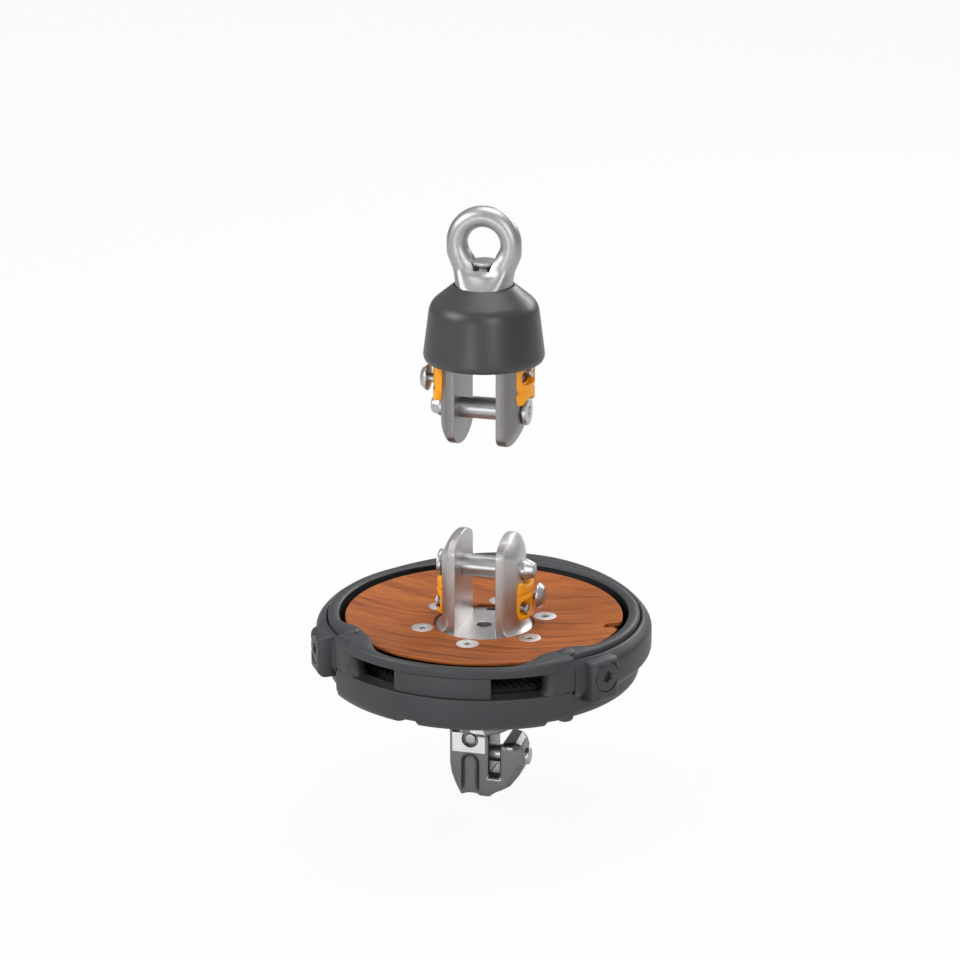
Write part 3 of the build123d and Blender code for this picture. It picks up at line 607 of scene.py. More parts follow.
def jaw_mesh(shape, sign):
    outline = jaw_outline()
    layers = [[(fork_gap_half, y * 0.99, z - (0.2 if z > 0 else 0)) for y, z in outline],
              [(fork_gap_half + 0.35, y, z) for y, z in outline]]
    for depth in jaw_depths:
        kept = 1 - min(1.0, depth / fork_half_depth)
        layer = []
        for y, z in outline:
            hub_z = min(z, 0.0)
            in_y, in_z = y * kept, hub_z + (z - hub_z) * kept
            layer.append((fork_gap_half + jaw_thickness(in_y, in_z, depth), in_y, in_z))
        layers.append(layer)
    verts = [[shape.verts.new((sign * x * MM, y * MM, z * MM)) for x, y, z in layer] for layer in layers]
    for lower, upper in zip(verts, verts[1:]):
        for i in range(len(outline) - 1):
            shape.faces.new((lower[i], lower[i + 1], upper[i + 1], upper[i]))
    shape.faces.new(verts[0])
    shape.faces.new([layer[0] for layer in verts] + [layer[-1] for layer in reversed(verts)])


def standing(height, upside_down):
    """Carries a shape drawn round a clevis pin to that pin, turned over for the fork that hangs."""
    turn = Matrix.Rotation(math.pi, 4, "X") if upside_down else Matrix.Identity(4)
    return Matrix.Translation((0, 0, height * MM)) @ turn


def mirrored_in_x(mesh):
    mesh.transform(Matrix.Scale(-1, 4, (1, 0, 0)))
    mesh.flip_normals()


def fork_piece(name, node, pin_height, upside_down, knob_side, material):
    joined = bmesh.new()
    for sign in (1, -1):
        shape = bmesh.new()
        jaw_mesh(shape, sign)
        bmesh.ops.recalc_face_normals(shape, faces=shape.faces)
        jaw = add_object("jaw", mesh_of(shape, "jaw"))
        tools = [cylinder_tool(pin_bore, 5, 30),
                 cylinder_tool(lock_screw_bore, 5, 30, at=(0, lock_screw_y, lock_screw_z))]
        if knob_side == sign:
            tools.append(cylinder_tool(knob_bore, 12.4, 32, at=(0, knob_shaft_y, knob_shaft_z)))
        if sign < 0:
            for tool in tools:
                mirrored_in_x(tool.data)
        cut(jaw, tools)
        jaw.data.transform(standing(pin_height, upside_down))
        joined.from_mesh(jaw.data)
        bpy.data.objects.remove(jaw)
    mesh = mesh_of(joined, name)
    mesh.materials.append(material)
    finish_mesh(mesh, 28)
    made = add_object(name, mesh)
    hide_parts(node)
    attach(made, frame_body[node])


drum_pin_z = sum(span("drum_clevis_pin", 2)) / 2
swivel_pin_z = sum(span("swivel_clevis_pin", 2)) / 2
fork_piece("drum_fork_jaws", "drum_fork", drum_pin_z, False, 1, turned)
# The swivel fork gets the darker copy of the steel: painted shade from the cover above it.
fork_piece("swivel_fork_jaws", "swivel_fork", swivel_pin_z, True, -1, turned_painted_shade)

# The drum fork's base is one turning with the jaws: a shallow round floor with a bored centre,
# a milled slot at its back edge and a broken rim. Its flange lies under the wood.
base_top = drum_pin_z - pin_above_base
base_bore = 4.2
flange_low = span("drum_fork", 2)[0]
flange_top = flange_low + 5.9
flange_radius = 44
base = lathed("drum_fork_base", rounded([
    (base_bore, flange_low, 0), (flange_radius, flange_low, 0.5), (flange_radius, flange_top, 0.5),
    (fork_base_radius, flange_top, 0), (fork_base_radius, base_top, 0.5),
    (base_bore, base_top, 0.4)]), turned)
slot_width, slot_middle = 10.0, 24.4
shape = bmesh.new()
bmesh.ops.create_cube(shape, size=1.0)
for corner in shape.verts:
    corner.co.x *= slot_width * MM
    corner.co.y = (slot_middle + 4.0 * corner.co.y) * MM
    corner.co.z = (base_top - 2 + 8 * corner.co.z) * MM
cut(base, [add_object("slot", mesh_of(shape, "slot"))])
finish_mesh(base.data, 28)
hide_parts("drum_fork")
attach(base, "rotor")

# The swivel fork's housing: a turned cup over the two bearings, hidden inside the cover.
# It is one piece with the jaws that hang from it.
swivel_base = swivel_pin_z + pin_above_base
cup_floor = swivel_base + 6
housing_top = span("swivel_fork", 2)[1]
housing = lathed("swivel_fork_housing", rounded([
    (base_bore, swivel_base, 0.4), (fork_base_radius, swivel_base, 0.5), (fork_base_radius, cup_floor, 0.5),
    (24.6, cup_floor, 0), (24.6, housing_top, 0.5), (19.0, housing_top, 0.3), (19.0, cup_floor, 0),
    (base_bore, swivel_base + 5.0, 0)]), turned)
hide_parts("swivel_fork")
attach(housing, "swivel_fork")

# Clevis pins, knobs and the tack pin: bar stock turned on a lathe and polished.
# The pins have a flat drilled head at one end and a short cone at the other.
polished = stainless("polished", (0.50, 0.50, 0.51), 0.36, wear=0.02, depth=0.0000005)


def spun(name, node, profile, centre, sign):
    made = lathed(name, profile, polished, 72, 40)
    made.data.transform(Matrix.Translation([v * MM for v in centre])
                        @ Matrix.Rotation(sign * math.pi / 2, 4, "Y"))
    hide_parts(node)
    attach(made, frame_body[node])


pin_radius, pin_head_radius = 6.0, 7.5
jaw_out = fork_gap_half + fork_mid_thick
head_start = -jaw_out - 0.1
pin_profile = rounded([(0, head_start - 1.2, 0), (2.9, head_start - 1.2, 0), (3.1, head_start - 2.6, 0.2),
                       (pin_head_radius, head_start - 2.6, 0.7), (pin_head_radius, head_start, 0.5),
                       (pin_radius, head_start, 0), (pin_radius, jaw_out + 1.4, 0.5),
                       (4.0, jaw_out + 6.4, 0.9), (0, jaw_out + 6.4, 0)])
spun("drum_pin_turned", "drum_clevis_pin", pin_profile, (0, 0, drum_pin_z), 1)
spun("swivel_pin_turned", "swivel_clevis_pin", pin_profile, (0, 0, swivel_pin_z), -1)
for name, height, sign in (("drum_knob", drum_pin_z + knob_shaft_z, 1),
                           ("swivel_knob", swivel_pin_z - knob_shaft_z, -1)):
    inner, outer = sorted(abs(end) for end in span(name, 0))
    profile = rounded([(0, inner, 0), (2.5, inner, 0.2), (2.5, outer - 4.0, 0), (7.0, outer - 4.0, 0.5),
                       (7.1, outer - 3.0, 0.6), (4.9, outer, 1.0), (0, outer, 0)])
    spun(name + "_turned", name, profile, (0, sum(span(name, 1)) / 2, height), sign)
left, right = span("tack_pin", 0)
tack_pin_profile = rounded([(0, left, 0), (5.0, left, 0.8), (5.0, right, 1.2), (0, right, 0)])
spun("tack_pin_turned", "tack_pin", tack_pin_profile, (0, 0, 0), 1)


# The lock screws, the keeper stud and the plunger: small polished turnings with broken edges.
# The line block between the two openings is moulded, with a wider radius.
# These are CAD pieces whose flat faces are joined first, so that only true edges are rounded.
def softened(name, material, width):
    made = add_object(name + "_soft", nodes[name].data.copy())
    shape = bmesh.new()
    shape.from_mesh(made.data)
    bmesh.ops.remove_doubles(shape, verts=shape.verts, dist=weld)
    bmesh.ops.dissolve_limit(shape, angle_limit=math.radians(0.6), verts=shape.verts, edges=shape.edges)
    edge_limit = math.radians(32)
    rims = [e for e in shape.edges if len(e.link_faces) == 2 and e.calc_face_angle(0) > edge_limit]
    bmesh.ops.bevel(shape, geom=rims, offset=width * MM, segments=3, profile=0.5, affect="EDGES",
                    clamp_overlap=True)
    shape.to_mesh(made.data)
    shape.free()
    made.data.materials.clear()
    made.data.materials.append(material)
    for face in made.data.polygons:
        face.use_smooth = True
        face.material_index = 0
    made.data.set_sharp_from_angle(angle=edge_limit)
    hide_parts(name)
    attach(made, frame_body[name])


for small in ("drum_lock_screws", "swivel_lock_screws", "eye_stud", "tack_plunger"):
    softened(small, polished, 0.25)
softened("line_block", frame_grey, 0.7)


# The eye: a drop forging, ground and tumbled, so that every edge runs soft into the next face.
# A round ring swells into a neck under the cover, and a turned shank goes down inside it.
# Its opening is a teardrop, narrow at the keeper stud, and the ring's wire stays round all about it.
def blend_in(a, b, reach):
    share = np.clip(0.5 + 0.5 * (b - a) / reach, 0, 1)
    return b + (a - b) * share - reach * share * (1 - share)


def blend_out(a, b, reach):
    return -blend_in(-a, -b, reach)


def slope_of(field, points, step=0.02):
    slopes = []
    for axis in range(3):
        ahead, behind = points.copy(), points.copy()
        ahead[:, axis] += step
        behind[:, axis] -= step
        slopes.append((field(*ahead.T) - field(*behind.T)) / (2 * step))
    return np.stack(slopes, axis=1)


def settle(field, points, grain, passes):
    """Moves points along the slope onto the place where the field is zero."""
    for _ in range(passes):
        slope = slope_of(field, points)
        size = np.maximum((slope ** 2).sum(axis=1), 1e-6)
        shift = -(field(*points.T) / size)[:, None] * slope
        reach = np.maximum(np.linalg.norm(shift, axis=1) / grain, 1.0)
        points = points + shift / reach[:, None]
    return points


def cast(name, field, low, high, grain, material):
    """The skin of a distance field: below zero is steel, and blends are the forging's fillets."""
    axes = [np.arange(a - grain, b + 2 * grain, grain) for a, b in zip(low, high)]
    solid = field(*np.meshgrid(*axes, indexing="ij")) < 0
    rows, columns, levels = (len(axis) - 1 for axis in axes)
    corners = sum(solid[i:, j:, k:][:rows, :columns, :levels].astype(int)
                  for i in (0, 1) for j in (0, 1) for k in (0, 1))
    mixed = (corners > 0) & (corners < 8)
    number = np.full(mixed.shape, -1)
    number[mixed] = np.arange(mixed.sum())
    points = np.array([a[0] for a in axes]) + (np.argwhere(mixed) + 0.5) * grain
    quads = []
    for axis in range(3):
        a, b = [other for other in range(3) if other != axis]
        length = solid.shape[axis]
        near = np.take(solid, range(length - 1), axis)
        far = np.take(solid, range(1, length), axis)
        spots = np.argwhere(near != far)
        spots = spots[(spots[:, a] > 0) & (spots[:, b] > 0)
                      & (spots[:, a] < mixed.shape[a]) & (spots[:, b] < mixed.shape[b])]
        ring = []
        for back_a, back_b in ((1, 1), (0, 1), (0, 0), (1, 0)):
            spot = spots.copy()
            spot[:, a] -= back_a
            spot[:, b] -= back_b
            ring.append(number[tuple(spot.T)])
        quads.append(np.stack(ring, axis=1))
    quads = np.concatenate(quads)
    points = settle(field, points, grain, 6)
    for _ in range(3):
        total = np.zeros_like(points)
        count = np.zeros(len(points))
        for here, there in ((0, 1), (1, 2), (2, 3), (3, 0)):
            for start, end in ((here, there), (there, here)):
                np.add.at(total, quads[:, start], points[quads[:, end]])
                np.add.at(count, quads[:, start], 1)
        points = settle(field, points * 0.4 + 0.6 * total / count[:, None], grain, 3)
    return new_piece(name, points.tolist(), quads.tolist(), material, 40)


forged = stainless("forged", (0.43, 0.42, 0.41), 0.42, wear=0.02, depth=0.0000005)
eye_top = span("swivel_eye", 2)[1]
eye_ring, eye_wire = 14.8, 5.7
eye_opening = 9.1
eye_drop = 8.0
eye_z = eye_top - eye_ring - eye_wire
eye_foot = span("swivel_cover", 2)[1] - 5.0
neck_wide, neck_deep = 15.4, 15.6
neck_blend = 7.0
stud_seat_radius = 7.4
eye_grain = 0.8


def eye_field(x, y, z):
    ring = np.hypot(np.hypot(x, z - eye_z) - eye_ring, y) - eye_wire
    rise = np.clip((z - eye_foot - 5.0) / (eye_z - eye_foot - 10.0), 0, 1)
    wide = neck_wide + 3.0 * rise
    deep = neck_deep - 9.8 * rise
    neck = (np.sqrt((x / wide) ** 2 + (y / deep) ** 2) - 1) * deep
    neck = blend_out(neck, z - eye_z + 2.0, neck_blend)
    neck = np.maximum(neck, eye_foot - z)
    drop = np.clip((eye_z - z) / eye_drop, 0, 1)
    opening = np.hypot(x, z - eye_z + eye_drop * drop) - (eye_opening - 1.7 * drop)
    flare = 0.036 * y ** 2
    return blend_in(ring, blend_out(neck, flare - opening, neck_blend), 3.0)


eye = cast("swivel_eye_forging", eye_field, (-21, -17, eye_foot), (21, 17, eye_top), eye_grain,
           forged)
cut(eye, [cylinder_tool(stud_seat_radius, eye_z - 14.0, eye_z - 4.0, "Z", segments=48)])
finish_mesh(eye.data, 40)
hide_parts("swivel_eye")
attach(eye, frame_body["swivel_eye"])
shank_low = span("swivel_eye", 2)[0]
collar_low = eye_foot - 9.0
shank = lathed("swivel_eye_shank", rounded([
    (0, shank_low, 0), (8.0, shank_low, 0.6), (8.0, collar_low, 0), (10.8, collar_low, 0.4),
    (10.8, eye_foot + 0.4, 0), (0, eye_foot + 0.4, 0)]), forged, 64)
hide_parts("swivel_eye")
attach(shank, frame_body["swivel_eye"])


# The tack hook: a thick forged and tumbled plate whose throat opens upward beside the stem.
# A lock plunger sits in the milled upper part of its front face, over a scoop that clears the finger.
# That flat upper front is coloured near-white as painted highlight, for the light it catches.
def outline_field(x, z, corners):
    near = np.full(x.shape, 1e9)
    inside = np.zeros(x.shape, dtype=bool)
    for (x0, z0), (x1, z1) in zip(corners, corners[1:] + corners[:1]):
        run, climb = x1 - x0, z1 - z0
        share = np.clip(((x - x0) * run + (z - z0) * climb) / (run ** 2 + climb ** 2), 0, 1)
        near = np.minimum(near, np.hypot(x - x0 - share * run, z - z0 - share * climb))
        inside ^= ((z0 > z) != (z1 > z)) & (x < run * (z - z0) / (climb + 1e-12) + x0)
    return np.where(inside, -near, near)


tumbled = stainless("tumbled", (0.23, 0.23, 0.225), 0.30, wear=0.03, depth=0.0000005)
# Painted highlight: a near-white copy of the hook's steel, for the flat upper front face where it catches the
# light.
front_face_painted_highlight = stainless("front_face_painted_highlight", (0.86, 0.85, 0.84), 0.5, wear=0.02, depth=0.0000005)
stem_radius = 15.7
hook_depth = 14.0
hook_low, hook_top = span("tack_hook", 2)
hook_right = span("tack_hook", 0)[1]
hook_edge = 1.6
hook_fillet = 2.4
scoop_radius, scoop_high = 5.2, 20.0
tack_pin_bore, stem_bore = 5.05, 10.0
plunger_bore, plunger_recess = 2.85, 4.8
hook_grain = 0.7
throat_left, throat_right, throat_floor = 6.4, 12.2, -9.0
hook_corners = [(-16.4, 17.0), (-16.4, -3.0), (-15.4, -9.5), (-13.2, -15.5), (-10.0, hook_low),
                (6.4, hook_low), (9.6, hook_low + 2.6), (17.8, hook_low + 6.6), (22.4, -9.4),
                (hook_right, -3.0), (hook_right, 5.2), (23.4, 8.6), (20.4, 10.6), (14.2, 10.6), (12.4, 8.0),
                (throat_right, throat_floor), (throat_left, throat_floor), (throat_left, 17.0)]


def hook_field(x, y, z):
    plate = outline_field(x, z, hook_corners)
    across = np.abs(y) - hook_depth + 4.0 * np.clip((x - 12.0) / 12.0, 0, 1) ** 2
    edge = 2.6 + 2.2 * np.clip((x - 13.0) / 8.0, 0, 1)
    plate = (np.minimum(np.maximum(plate + hook_edge, across + edge), 0.0)
             + np.hypot(np.maximum(plate + edge, 0), np.maximum(across + edge, 0)) - edge)
    stem = np.maximum(np.hypot(x, y) - stem_radius, np.maximum(z - hook_top, 15.8 - z))
    steel = blend_in(plate, stem, hook_fillet)
    scoop = np.hypot(x + 4.3, y + hook_depth + 0.7)
    scoop = np.hypot(scoop, np.maximum(z - (hook_low + scoop_high), 0)) - scoop_radius
    return blend_out(steel, -scoop, 0.8)


hook = cast("tack_hook_forging", hook_field, (-17, -15.8, hook_low), (hook_right, 15.8, hook_top),
            hook_grain, tumbled)
plunger_at = (sum(span("tack_plunger", 0)) / 2, 0, sum(span("tack_plunger", 2)) / 2)
cut(hook, [cylinder_tool(tack_pin_bore, -5.6, 30), cylinder_tool(stem_bore, 19, 40, "Z"),
           cylinder_tool(plunger_recess, -20, -hook_depth + 2.6, "Y", plunger_at),
           cylinder_tool(plunger_bore, -20, -0.2, "Y", plunger_at)])
finish_mesh(hook.data, 40)
# The flat upper front faces take the painted-highlight colour; the rest of the hook keeps the tumbled steel.
hook.data.materials.append(front_face_painted_highlight)
for face in hook.data.polygons:
    outermost = face.normal.y < -0.97 and face.center.y < (0.3 - hook_depth) * MM
    if outermost and face.center.z > 4.4 * MM and face.center.x < 6.0 * MM:
        face.material_index = 1
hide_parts("tack_hook")
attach(hook, frame_body["tack_hook"])

# Orange lock plates: moulded nylon shields that lie on the swell of the jaws and point at the pin.
# Each slides on its screw in an oval window that runs toward its thin front edge,
# and on the knob's side the knob's shaft passes through it.
lock_orange = moulded_plastic("lock_orange", (0.92, 0.35, 0.002), 0.42)
lock_thick = 4.3
lock_curve = 20.0
lock_lean = 3.0
pin_room = 8.0
window_radius = 3.5
knob_hole = 2.8
groove_at, groove_radius = -13.0, 1.1
lock_grain = 0.36
jaw_swell = fork_mid_thick - fork_edge_thick
jaw_curve = (jaw_swell ** 2 + fork_half_depth ** 2) / (2 * jaw_swell)
lock_corners = [(10.8, -25.6), (12.6, -19.5), (11.6, -12.0), (9.4, -7.0), (7.8, -6.6), (5.6, -8.4), (0, -9.9),
                (-5.0, -8.9), (-6.6, -7.0), (-8.0, -7.4), (-8.9, -12.5), (-8.9, -21.0), (-6.6, -25.8)]


def lock_field(has_knob, lean, window_end):
    window_from, window_to = sorted((lock_screw_y, window_end))

    def field(x, y, z):
        jaw_skin = np.hypot(x - jaw_out + jaw_curve, y) - jaw_curve
        skin = np.hypot(x - jaw_out - lock_thick + lock_curve, y - lean) - lock_curve
        shield = blend_out(outline_field(y, z, lock_corners) - 1.7, pin_room - np.hypot(y, z), 0.6)
        plate = np.maximum(blend_out(shield, skin, 1.8), 0.15 - jaw_skin)
        window = np.hypot(y - np.clip(y, window_from, window_to), z - np.clip(z, -21.0, -19.5))
        window -= window_radius
        sill = np.maximum(window, 1.2 - jaw_skin)
        plate = blend_out(plate, -np.minimum(sill, window + 1.2), 0.4)
        if has_knob:
            bore = np.hypot(y - knob_shaft_y, z - np.clip(z, knob_shaft_z, knob_shaft_z + 2.5)) - knob_hole
            plate = blend_out(plate, -bore, 0.5)
        groove = np.hypot(z - groove_at, skin - 0.5) - groove_radius
        return blend_out(plate, -groove, 0.6)
    return field


for name, side, has_knob, lean, window_end in (("drum_lock_right", 1, True, lock_lean, -6.2),
                                               ("drum_lock_left", -1, False, lock_lean, -6.2),
                                               ("swivel_lock_right", 1, False, -lock_lean, 5.0),
                                               ("swivel_lock_left", -1, True, lock_lean, -3.0)):
    lock = cast(name + "_shield", lock_field(has_knob, lean, window_end), (jaw_out - 4.5, -11, -28),
                (jaw_out + 5.2, 15, -4.6), lock_grain, lock_orange)
    if side < 0:
        mirrored_in_x(lock.data)
    hanging = name.startswith("swivel")
    lock.data.transform(standing(swivel_pin_z if hanging else drum_pin_z, hanging))
    finish_mesh(lock.data, 45)
    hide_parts(name)
    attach(lock, frame_body[name])


# Cover of the head swivel: one moulded bell with a soft shoulder and a rounded foot.
# It is hollow to clear the bearing housing, and closes on the neck of the eye.
cover_grey = moulded_plastic("cover_grey", (0.036, 0.037, 0.039), 0.36)
cover_low, cover_top = span("swivel_cover", 2)
cover_radius = span("swivel_cover", 0)[1]
cover_mouth = 15.9
shoulder = cover_low + 31.0
cover = lathed("swivel_cover_bell", rounded([
    (cover_radius - 2.4, cover_low, 0.5), (cover_radius - 1.2, cover_low, 0.5),
    (cover_radius, cover_low + 2.4, 2.4), (cover_radius - 3.7, shoulder, 4.2),
    (16.8, cover_top, 0.9), (cover_mouth, cover_top, 0.4), (cover_mouth, cover_top - 2.6, 0.3),
    (cover_radius - 6.3, shoulder - 1.5, 4.0)], 6), cover_grey, 180, 50)
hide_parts("swivel_cover")
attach(cover, "swivel_head")

# Deck disc: turned from a board of teak and oiled, gently dished toward the fork, with a thin rim
# and one slot in it with rounded lips. The grain runs across the drum along the clevis pins.
wood, tree = fresh_material("oiled_teak")
place = add_node(tree, "ShaderNodeTexCoord", {}).outputs["Object"]
lay = add_node(tree, "ShaderNodeMapping", {"Vector": place, "Scale": (7.0, 130.0, 60.0),
                                           "Rotation": (0, 0, math.radians(4))})
sway = add_node(tree, "ShaderNodeTexNoise", {"Vector": place, "Scale": 9.0, "Detail": 2.0})
bend = add_node(tree, "ShaderNodeVectorMath", {0: sway.outputs["Color"], 1: (0.0, 3.4, 0.0),
                                               2: lay.outputs["Vector"]}, "MULTIPLY_ADD").outputs["Vector"]
grain_lines = add_node(tree, "ShaderNodeTexNoise", {"Vector": bend, "Scale": 1.6, "Detail": 5.0,
                                                    "Roughness": 0.62})
pores = noise(tree, bend, 9.0, 3.0)
shade = add_node(tree, "ShaderNodeValToRGB", {"Fac": grain_lines.outputs["Fac"]})
dark_stop, light_stop = shade.color_ramp.elements
dark_stop.position, dark_stop.color = 0.32, (0.17, 0.040, 0.008, 1)
light_stop.position, light_stop.color = 0.68, (0.43, 0.128, 0.026, 1)
shade.color_ramp.elements.new(0.46).color = (0.33, 0.088, 0.017, 1)
dark = add_node(tree, "ShaderNodeMapRange", {"Value": pores, "From Min": 0.3, "From Max": 0.55,
                                             "To Min": 0.66, "To Max": 1.0})
stained = add_node(tree, "ShaderNodeVectorMath", {0: shade.outputs["Color"], "Scale": dark.outputs["Result"]},
                   "SCALE")
surfaced(tree, {"Base Color": stained.outputs["Vector"], "Roughness": 0.62, "Specular IOR Level": 0.2,
                "Normal": bumped(tree, pores, 0.5, 0.0002)})

disc_low = span("deck_disc", 2)[0]
disc_rise = wood_edge_top - deck_z
disc_inner = 27.6
dish_steps = 14
dish_run = wood_radius - flange_radius
dish = [(flange_radius + dish_run * k / dish_steps, deck_z + disc_rise * (k / dish_steps) ** 1.35, 0)
        for k in range(dish_steps)]
disc_corners = [(disc_inner, disc_low, 0.2), (flange_radius, disc_low, 0), (55, disc_low + 0.5, 3.0),
                (66, wood_edge_top - 5.0, 3.0), (wood_radius, wood_edge_top - 1.9, 0.9),
                (wood_radius, wood_edge_top, 0.9)] + dish[::-1] + [(disc_inner, deck_z, 0.35)]
disc = lathed("deck_disc_teak", rounded(disc_corners, 6), wood, 240, 40)
notch_half, notch_end = 2.9, wood_radius - 8.0
notch_corners = [(wood_radius + 6, -11.0), (wood_radius - 0.6, -7.4), (wood_radius - 3.2, -4.6),
                 (wood_radius - 4.6, -notch_half), (notch_end, -notch_half), (notch_end - 1.6, 0),
                 (notch_end, notch_half), (wood_radius - 1.6, notch_half),
                 (wood_radius + 0.4, notch_half + 2.2), (wood_radius + 6, notch_half + 4.0)]
shape = bmesh.new()
notch_floor = (disc_low - 5) * MM
notch_face = shape.faces.new([shape.verts.new((x * MM, y * MM, notch_floor)) for x, y in notch_corners])
lifted = bmesh.ops.extrude_face_region(shape, geom=[notch_face])
bmesh.ops.translate(shape, vec=(0, 0, 20 * MM),
                    verts=[made for made in lifted["geom"] if isinstance(made, bmesh.types.BMVert)])
bmesh.ops.recalc_face_normals(shape, faces=shape.faces)
notch_mesh = mesh_of(shape, "notch")
notch_mesh.transform(Matrix.Rotation(math.radians(2.0), 4, "Z"))
screw_circle, screw_seat = 35.0, 6.4
cut(disc, [add_object("notch", notch_mesh)]
    + [cylinder_tool(screw_seat, deck_z - 2.5, deck_z + 5, "Z", round_spot(screw_circle, 30 + 60 * i))
       for i in range(6)])
finish_mesh(disc.data, 40)
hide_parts("deck_disc")
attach(disc, "rotor")


# Deck screws: six flush stainless heads, each one turned disc with a star recess pressed in.
# A black disc in the bottom of each recess is painted shade. Both repeat round the axis by Geometry Nodes:
# a circle of points carries the item, turned outward at each point, and the result is made one plain mesh.
head_points = 72
star_lobe = 0.17


def star_head(name, radius, tall, star, deep, material):
    rings = [(radius, -tall, 0), (radius, -0.35, 0), (radius - 0.1, -0.1, 0), (radius - 0.35, 0, 0),
             (star + 0.9, 0, 1), (star + 0.12, 0, 1), (star, -0.15, 1), (star * 0.92, -deep, 1)]
    turns = [2 * math.pi * i / head_points for i in range(head_points)]
    loops = []
    for r, z, lobed in rings:
        reaches = [r * (1 + star_lobe * lobed * math.cos(6 * turn)) for turn in turns]
        loops.append([(reach * math.cos(turn), reach * math.sin(turn), z)
                      for reach, turn in zip(reaches, turns)])
    return skinned(name, loops, material, False, 30)


def ring_of(name, item, count, radius, height, start, material):
    tree = bpy.data.node_groups.new(name + "_ring", "GeometryNodeTree")
    settings = {"Count": ("NodeSocketInt", count), "Radius": ("NodeSocketFloat", radius * MM),
                "Height": ("NodeSocketFloat", height * MM), "Start": ("NodeSocketFloat", math.radians(start)),
                "Item": ("NodeSocketObject", item), "Finish": ("NodeSocketMaterial", material)}
    tree.interface.new_socket("Geometry", in_out="INPUT", socket_type="NodeSocketGeometry")
    sockets = {label: tree.interface.new_socket(label, in_out="INPUT", socket_type=kind).identifier
               for label, (kind, value) in settings.items()}
    tree.interface.new_socket("Geometry", in_out="OUTPUT", socket_type="NodeSocketGeometry")
    given = add_node(tree, "NodeGroupInput", {}).outputs
    circle = add_node(tree, "GeometryNodeMeshCircle", {"Vertices": given["Count"], "Radius": given["Radius"]})
    held = add_node(tree, "GeometryNodeObjectInfo", {"Object": given["Item"]})
    index = add_node(tree, "GeometryNodeInputIndex", {})
    step = add_node(tree, "ShaderNodeMath", {0: 2 * math.pi, 1: given["Count"]}, "DIVIDE")
    turn = add_node(tree, "ShaderNodeMath", {0: index.outputs["Index"], 1: step.outputs[0]}, "MULTIPLY")
    facing = add_node(tree, "ShaderNodeCombineXYZ", {"Z": turn.outputs[0]})
    copies = add_node(tree, "GeometryNodeInstanceOnPoints", {
        "Points": circle.outputs["Mesh"], "Instance": held.outputs["Geometry"],
        "Rotation": facing.outputs["Vector"]})
    lift = add_node(tree, "ShaderNodeCombineXYZ", {"Z": given["Height"]})
    swing = add_node(tree, "ShaderNodeCombineXYZ", {"Z": given["Start"]})
    placed = add_node(tree, "GeometryNodeTransform", {
        "Geometry": copies.outputs["Instances"], "Translation": lift.outputs["Vector"],
        "Rotation": swing.outputs["Vector"]})
    real = add_node(tree, "GeometryNodeRealizeInstances", {"Geometry": placed.outputs["Geometry"]})
    dressed = add_node(tree, "GeometryNodeSetMaterial", {"Geometry": real.outputs["Geometry"],
                                                         "Material": given["Finish"]})
    add_node(tree, "NodeGroupOutput", {0: dressed.outputs["Geometry"]})
    whole = add_object(name, bpy.data.meshes.new(name))
    ring = whole.modifiers.new("ring", "NODES")
    ring.node_group = tree
    for label, (kind, value) in settings.items():
        ring[sockets[label]] = value
    made_plain(whole)
    bpy.data.objects.remove(item)
    return whole


zinc_head = stainless("zinc_head", (0.66, 0.63, 0.61), 0.46, depth=0.000002)
# seal_and_shade_black: the black of the moulded seal, also used for the painted-shade discs in the screw
# recesses.
seal_and_shade_black = moulded_plastic("seal_and_shade_black", (0.015, 0.015, 0.016), 0.6)
screw_face_z = deck_z + 0.12
head = star_head("deck_screw_head", 6.3, 2.4, 2.2, 1.6, zinc_head)
heads = ring_of("deck_screw_heads", head, 6, screw_circle, screw_face_z, 30, zinc_head)
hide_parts("deck_screws")
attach(heads, "rotor")
# Painted shade: a black disc sits low in each star recess, so that the recess reads dark under any light.
recess_shade_disc = lathed("deck_screw_recess", [(0, -1.7), (2.1, -1.7), (2.1, -0.9), (0, -0.9)], seal_and_shade_black, 24)
recesses = ring_of("deck_screw_recesses", recess_shade_disc, 6, screw_circle, screw_face_z, 30, seal_and_shade_black)
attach(recesses, "rotor")

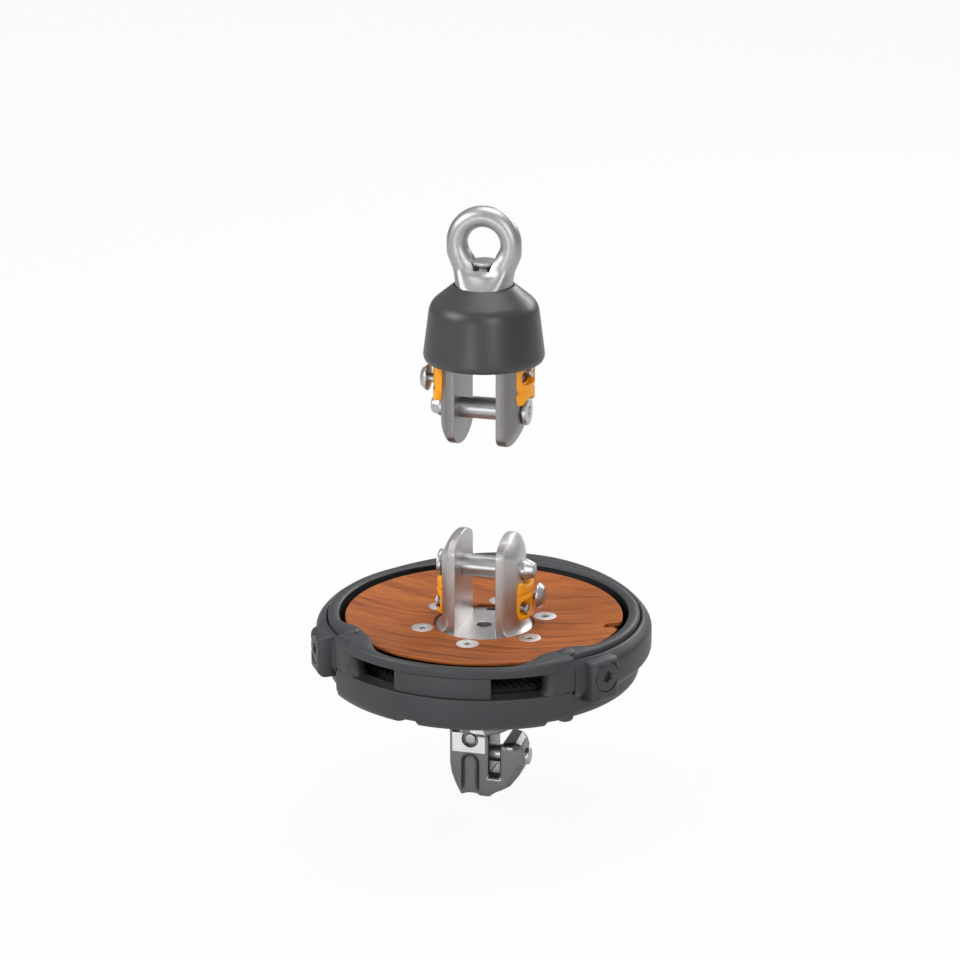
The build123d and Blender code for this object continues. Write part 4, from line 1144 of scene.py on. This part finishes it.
# The other screws of the frame, blackened to its colour: a large one in the bore of each side pad,
# and six small ones that come up through the foot of the bowl. They have star recesses too.
for side, word in ((-1, "left"), (1, "right")):
    head = star_head("side_screw_" + word, side_screw_radius, 3.6, 3.0, 2.2, frame_grey)
    head.data.transform(Matrix.Rotation(math.radians(-90 + pad_angle * side), 4, "Z")
                        @ Matrix.Translation(((pad_reach - 0.3) * MM, 0, side_screw_height * MM))
                        @ Matrix.Rotation(math.pi / 2, 4, "Y"))
    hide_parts("side_screws")
    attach(head, "frame")
for angle in frame_screw_angles:
    head = star_head("frame_screw_head", 2.7, 1.6, 1.1, 1.0, frame_grey)
    head.data.transform(Matrix.Rotation(math.radians(angle), 4, "Z")
                        @ Matrix.Translation((frame_screw_ring * MM, 0, (frame_screw_high - 1.7) * MM))
                        @ Matrix.Rotation(math.pi, 4, "X"))
    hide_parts("frame_screws")
    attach(head, "frame")


# The sheave: two black moulded halves on a core, with slanting grip ribs on both cheeks of the groove.
# The ribs show through the openings as a row of slanted teeth. Halves and core are the CAD's own.
def give(material, *names):
    for name in names:
        mesh = nodes[name].data
        for index in range(len(mesh.materials)):
            mesh.materials[index] = material


sheave_black = moulded_plastic("sheave_black", (0.022, 0.023, 0.025), 0.42)
give(sheave_black, "sheave_upper", "sheave_lower", "rotor_core")
rib_reach, rib_half = 6.5, (0.45, 0.6)
rib_count, rib_ring = 110, 67.6
for word, rib_height, rib_tilt in (("lower", deck_z - 9.6, 13.0), ("upper", deck_z - 6.4, -13.0)):
    rib = bevelled_block("rib", (-rib_reach, -rib_half[0], -rib_half[1]), (rib_reach, *rib_half), 0.2,
                         sheave_black, 0.12)
    rib.data.transform(Matrix.Rotation(math.radians(rib_tilt), 4, "Y")
                       @ Matrix.Rotation(math.radians(30), 4, "Z"))
    ribs = ring_of("sheave_ribs_" + word, rib, rib_count, rib_ring, rib_height, 0, sheave_black)
    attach(ribs, "rotor")

# Inner pieces that are the CAD's own: ground steel bearings, springs and spacers,
# the turned axle with its nuts, and a moulded seal under the lower bearing.
ground = stainless("ground", (0.50, 0.51, 0.53), 0.3, depth=0.000002)
give(seal_and_shade_black, "lower_seal")
steel_words = ("race", "balls", "spring", "spacers")
give(ground, *[name for name in nodes if any(word in name for word in steel_words)],
     "axle", "axle_nut", "swivel_nut")
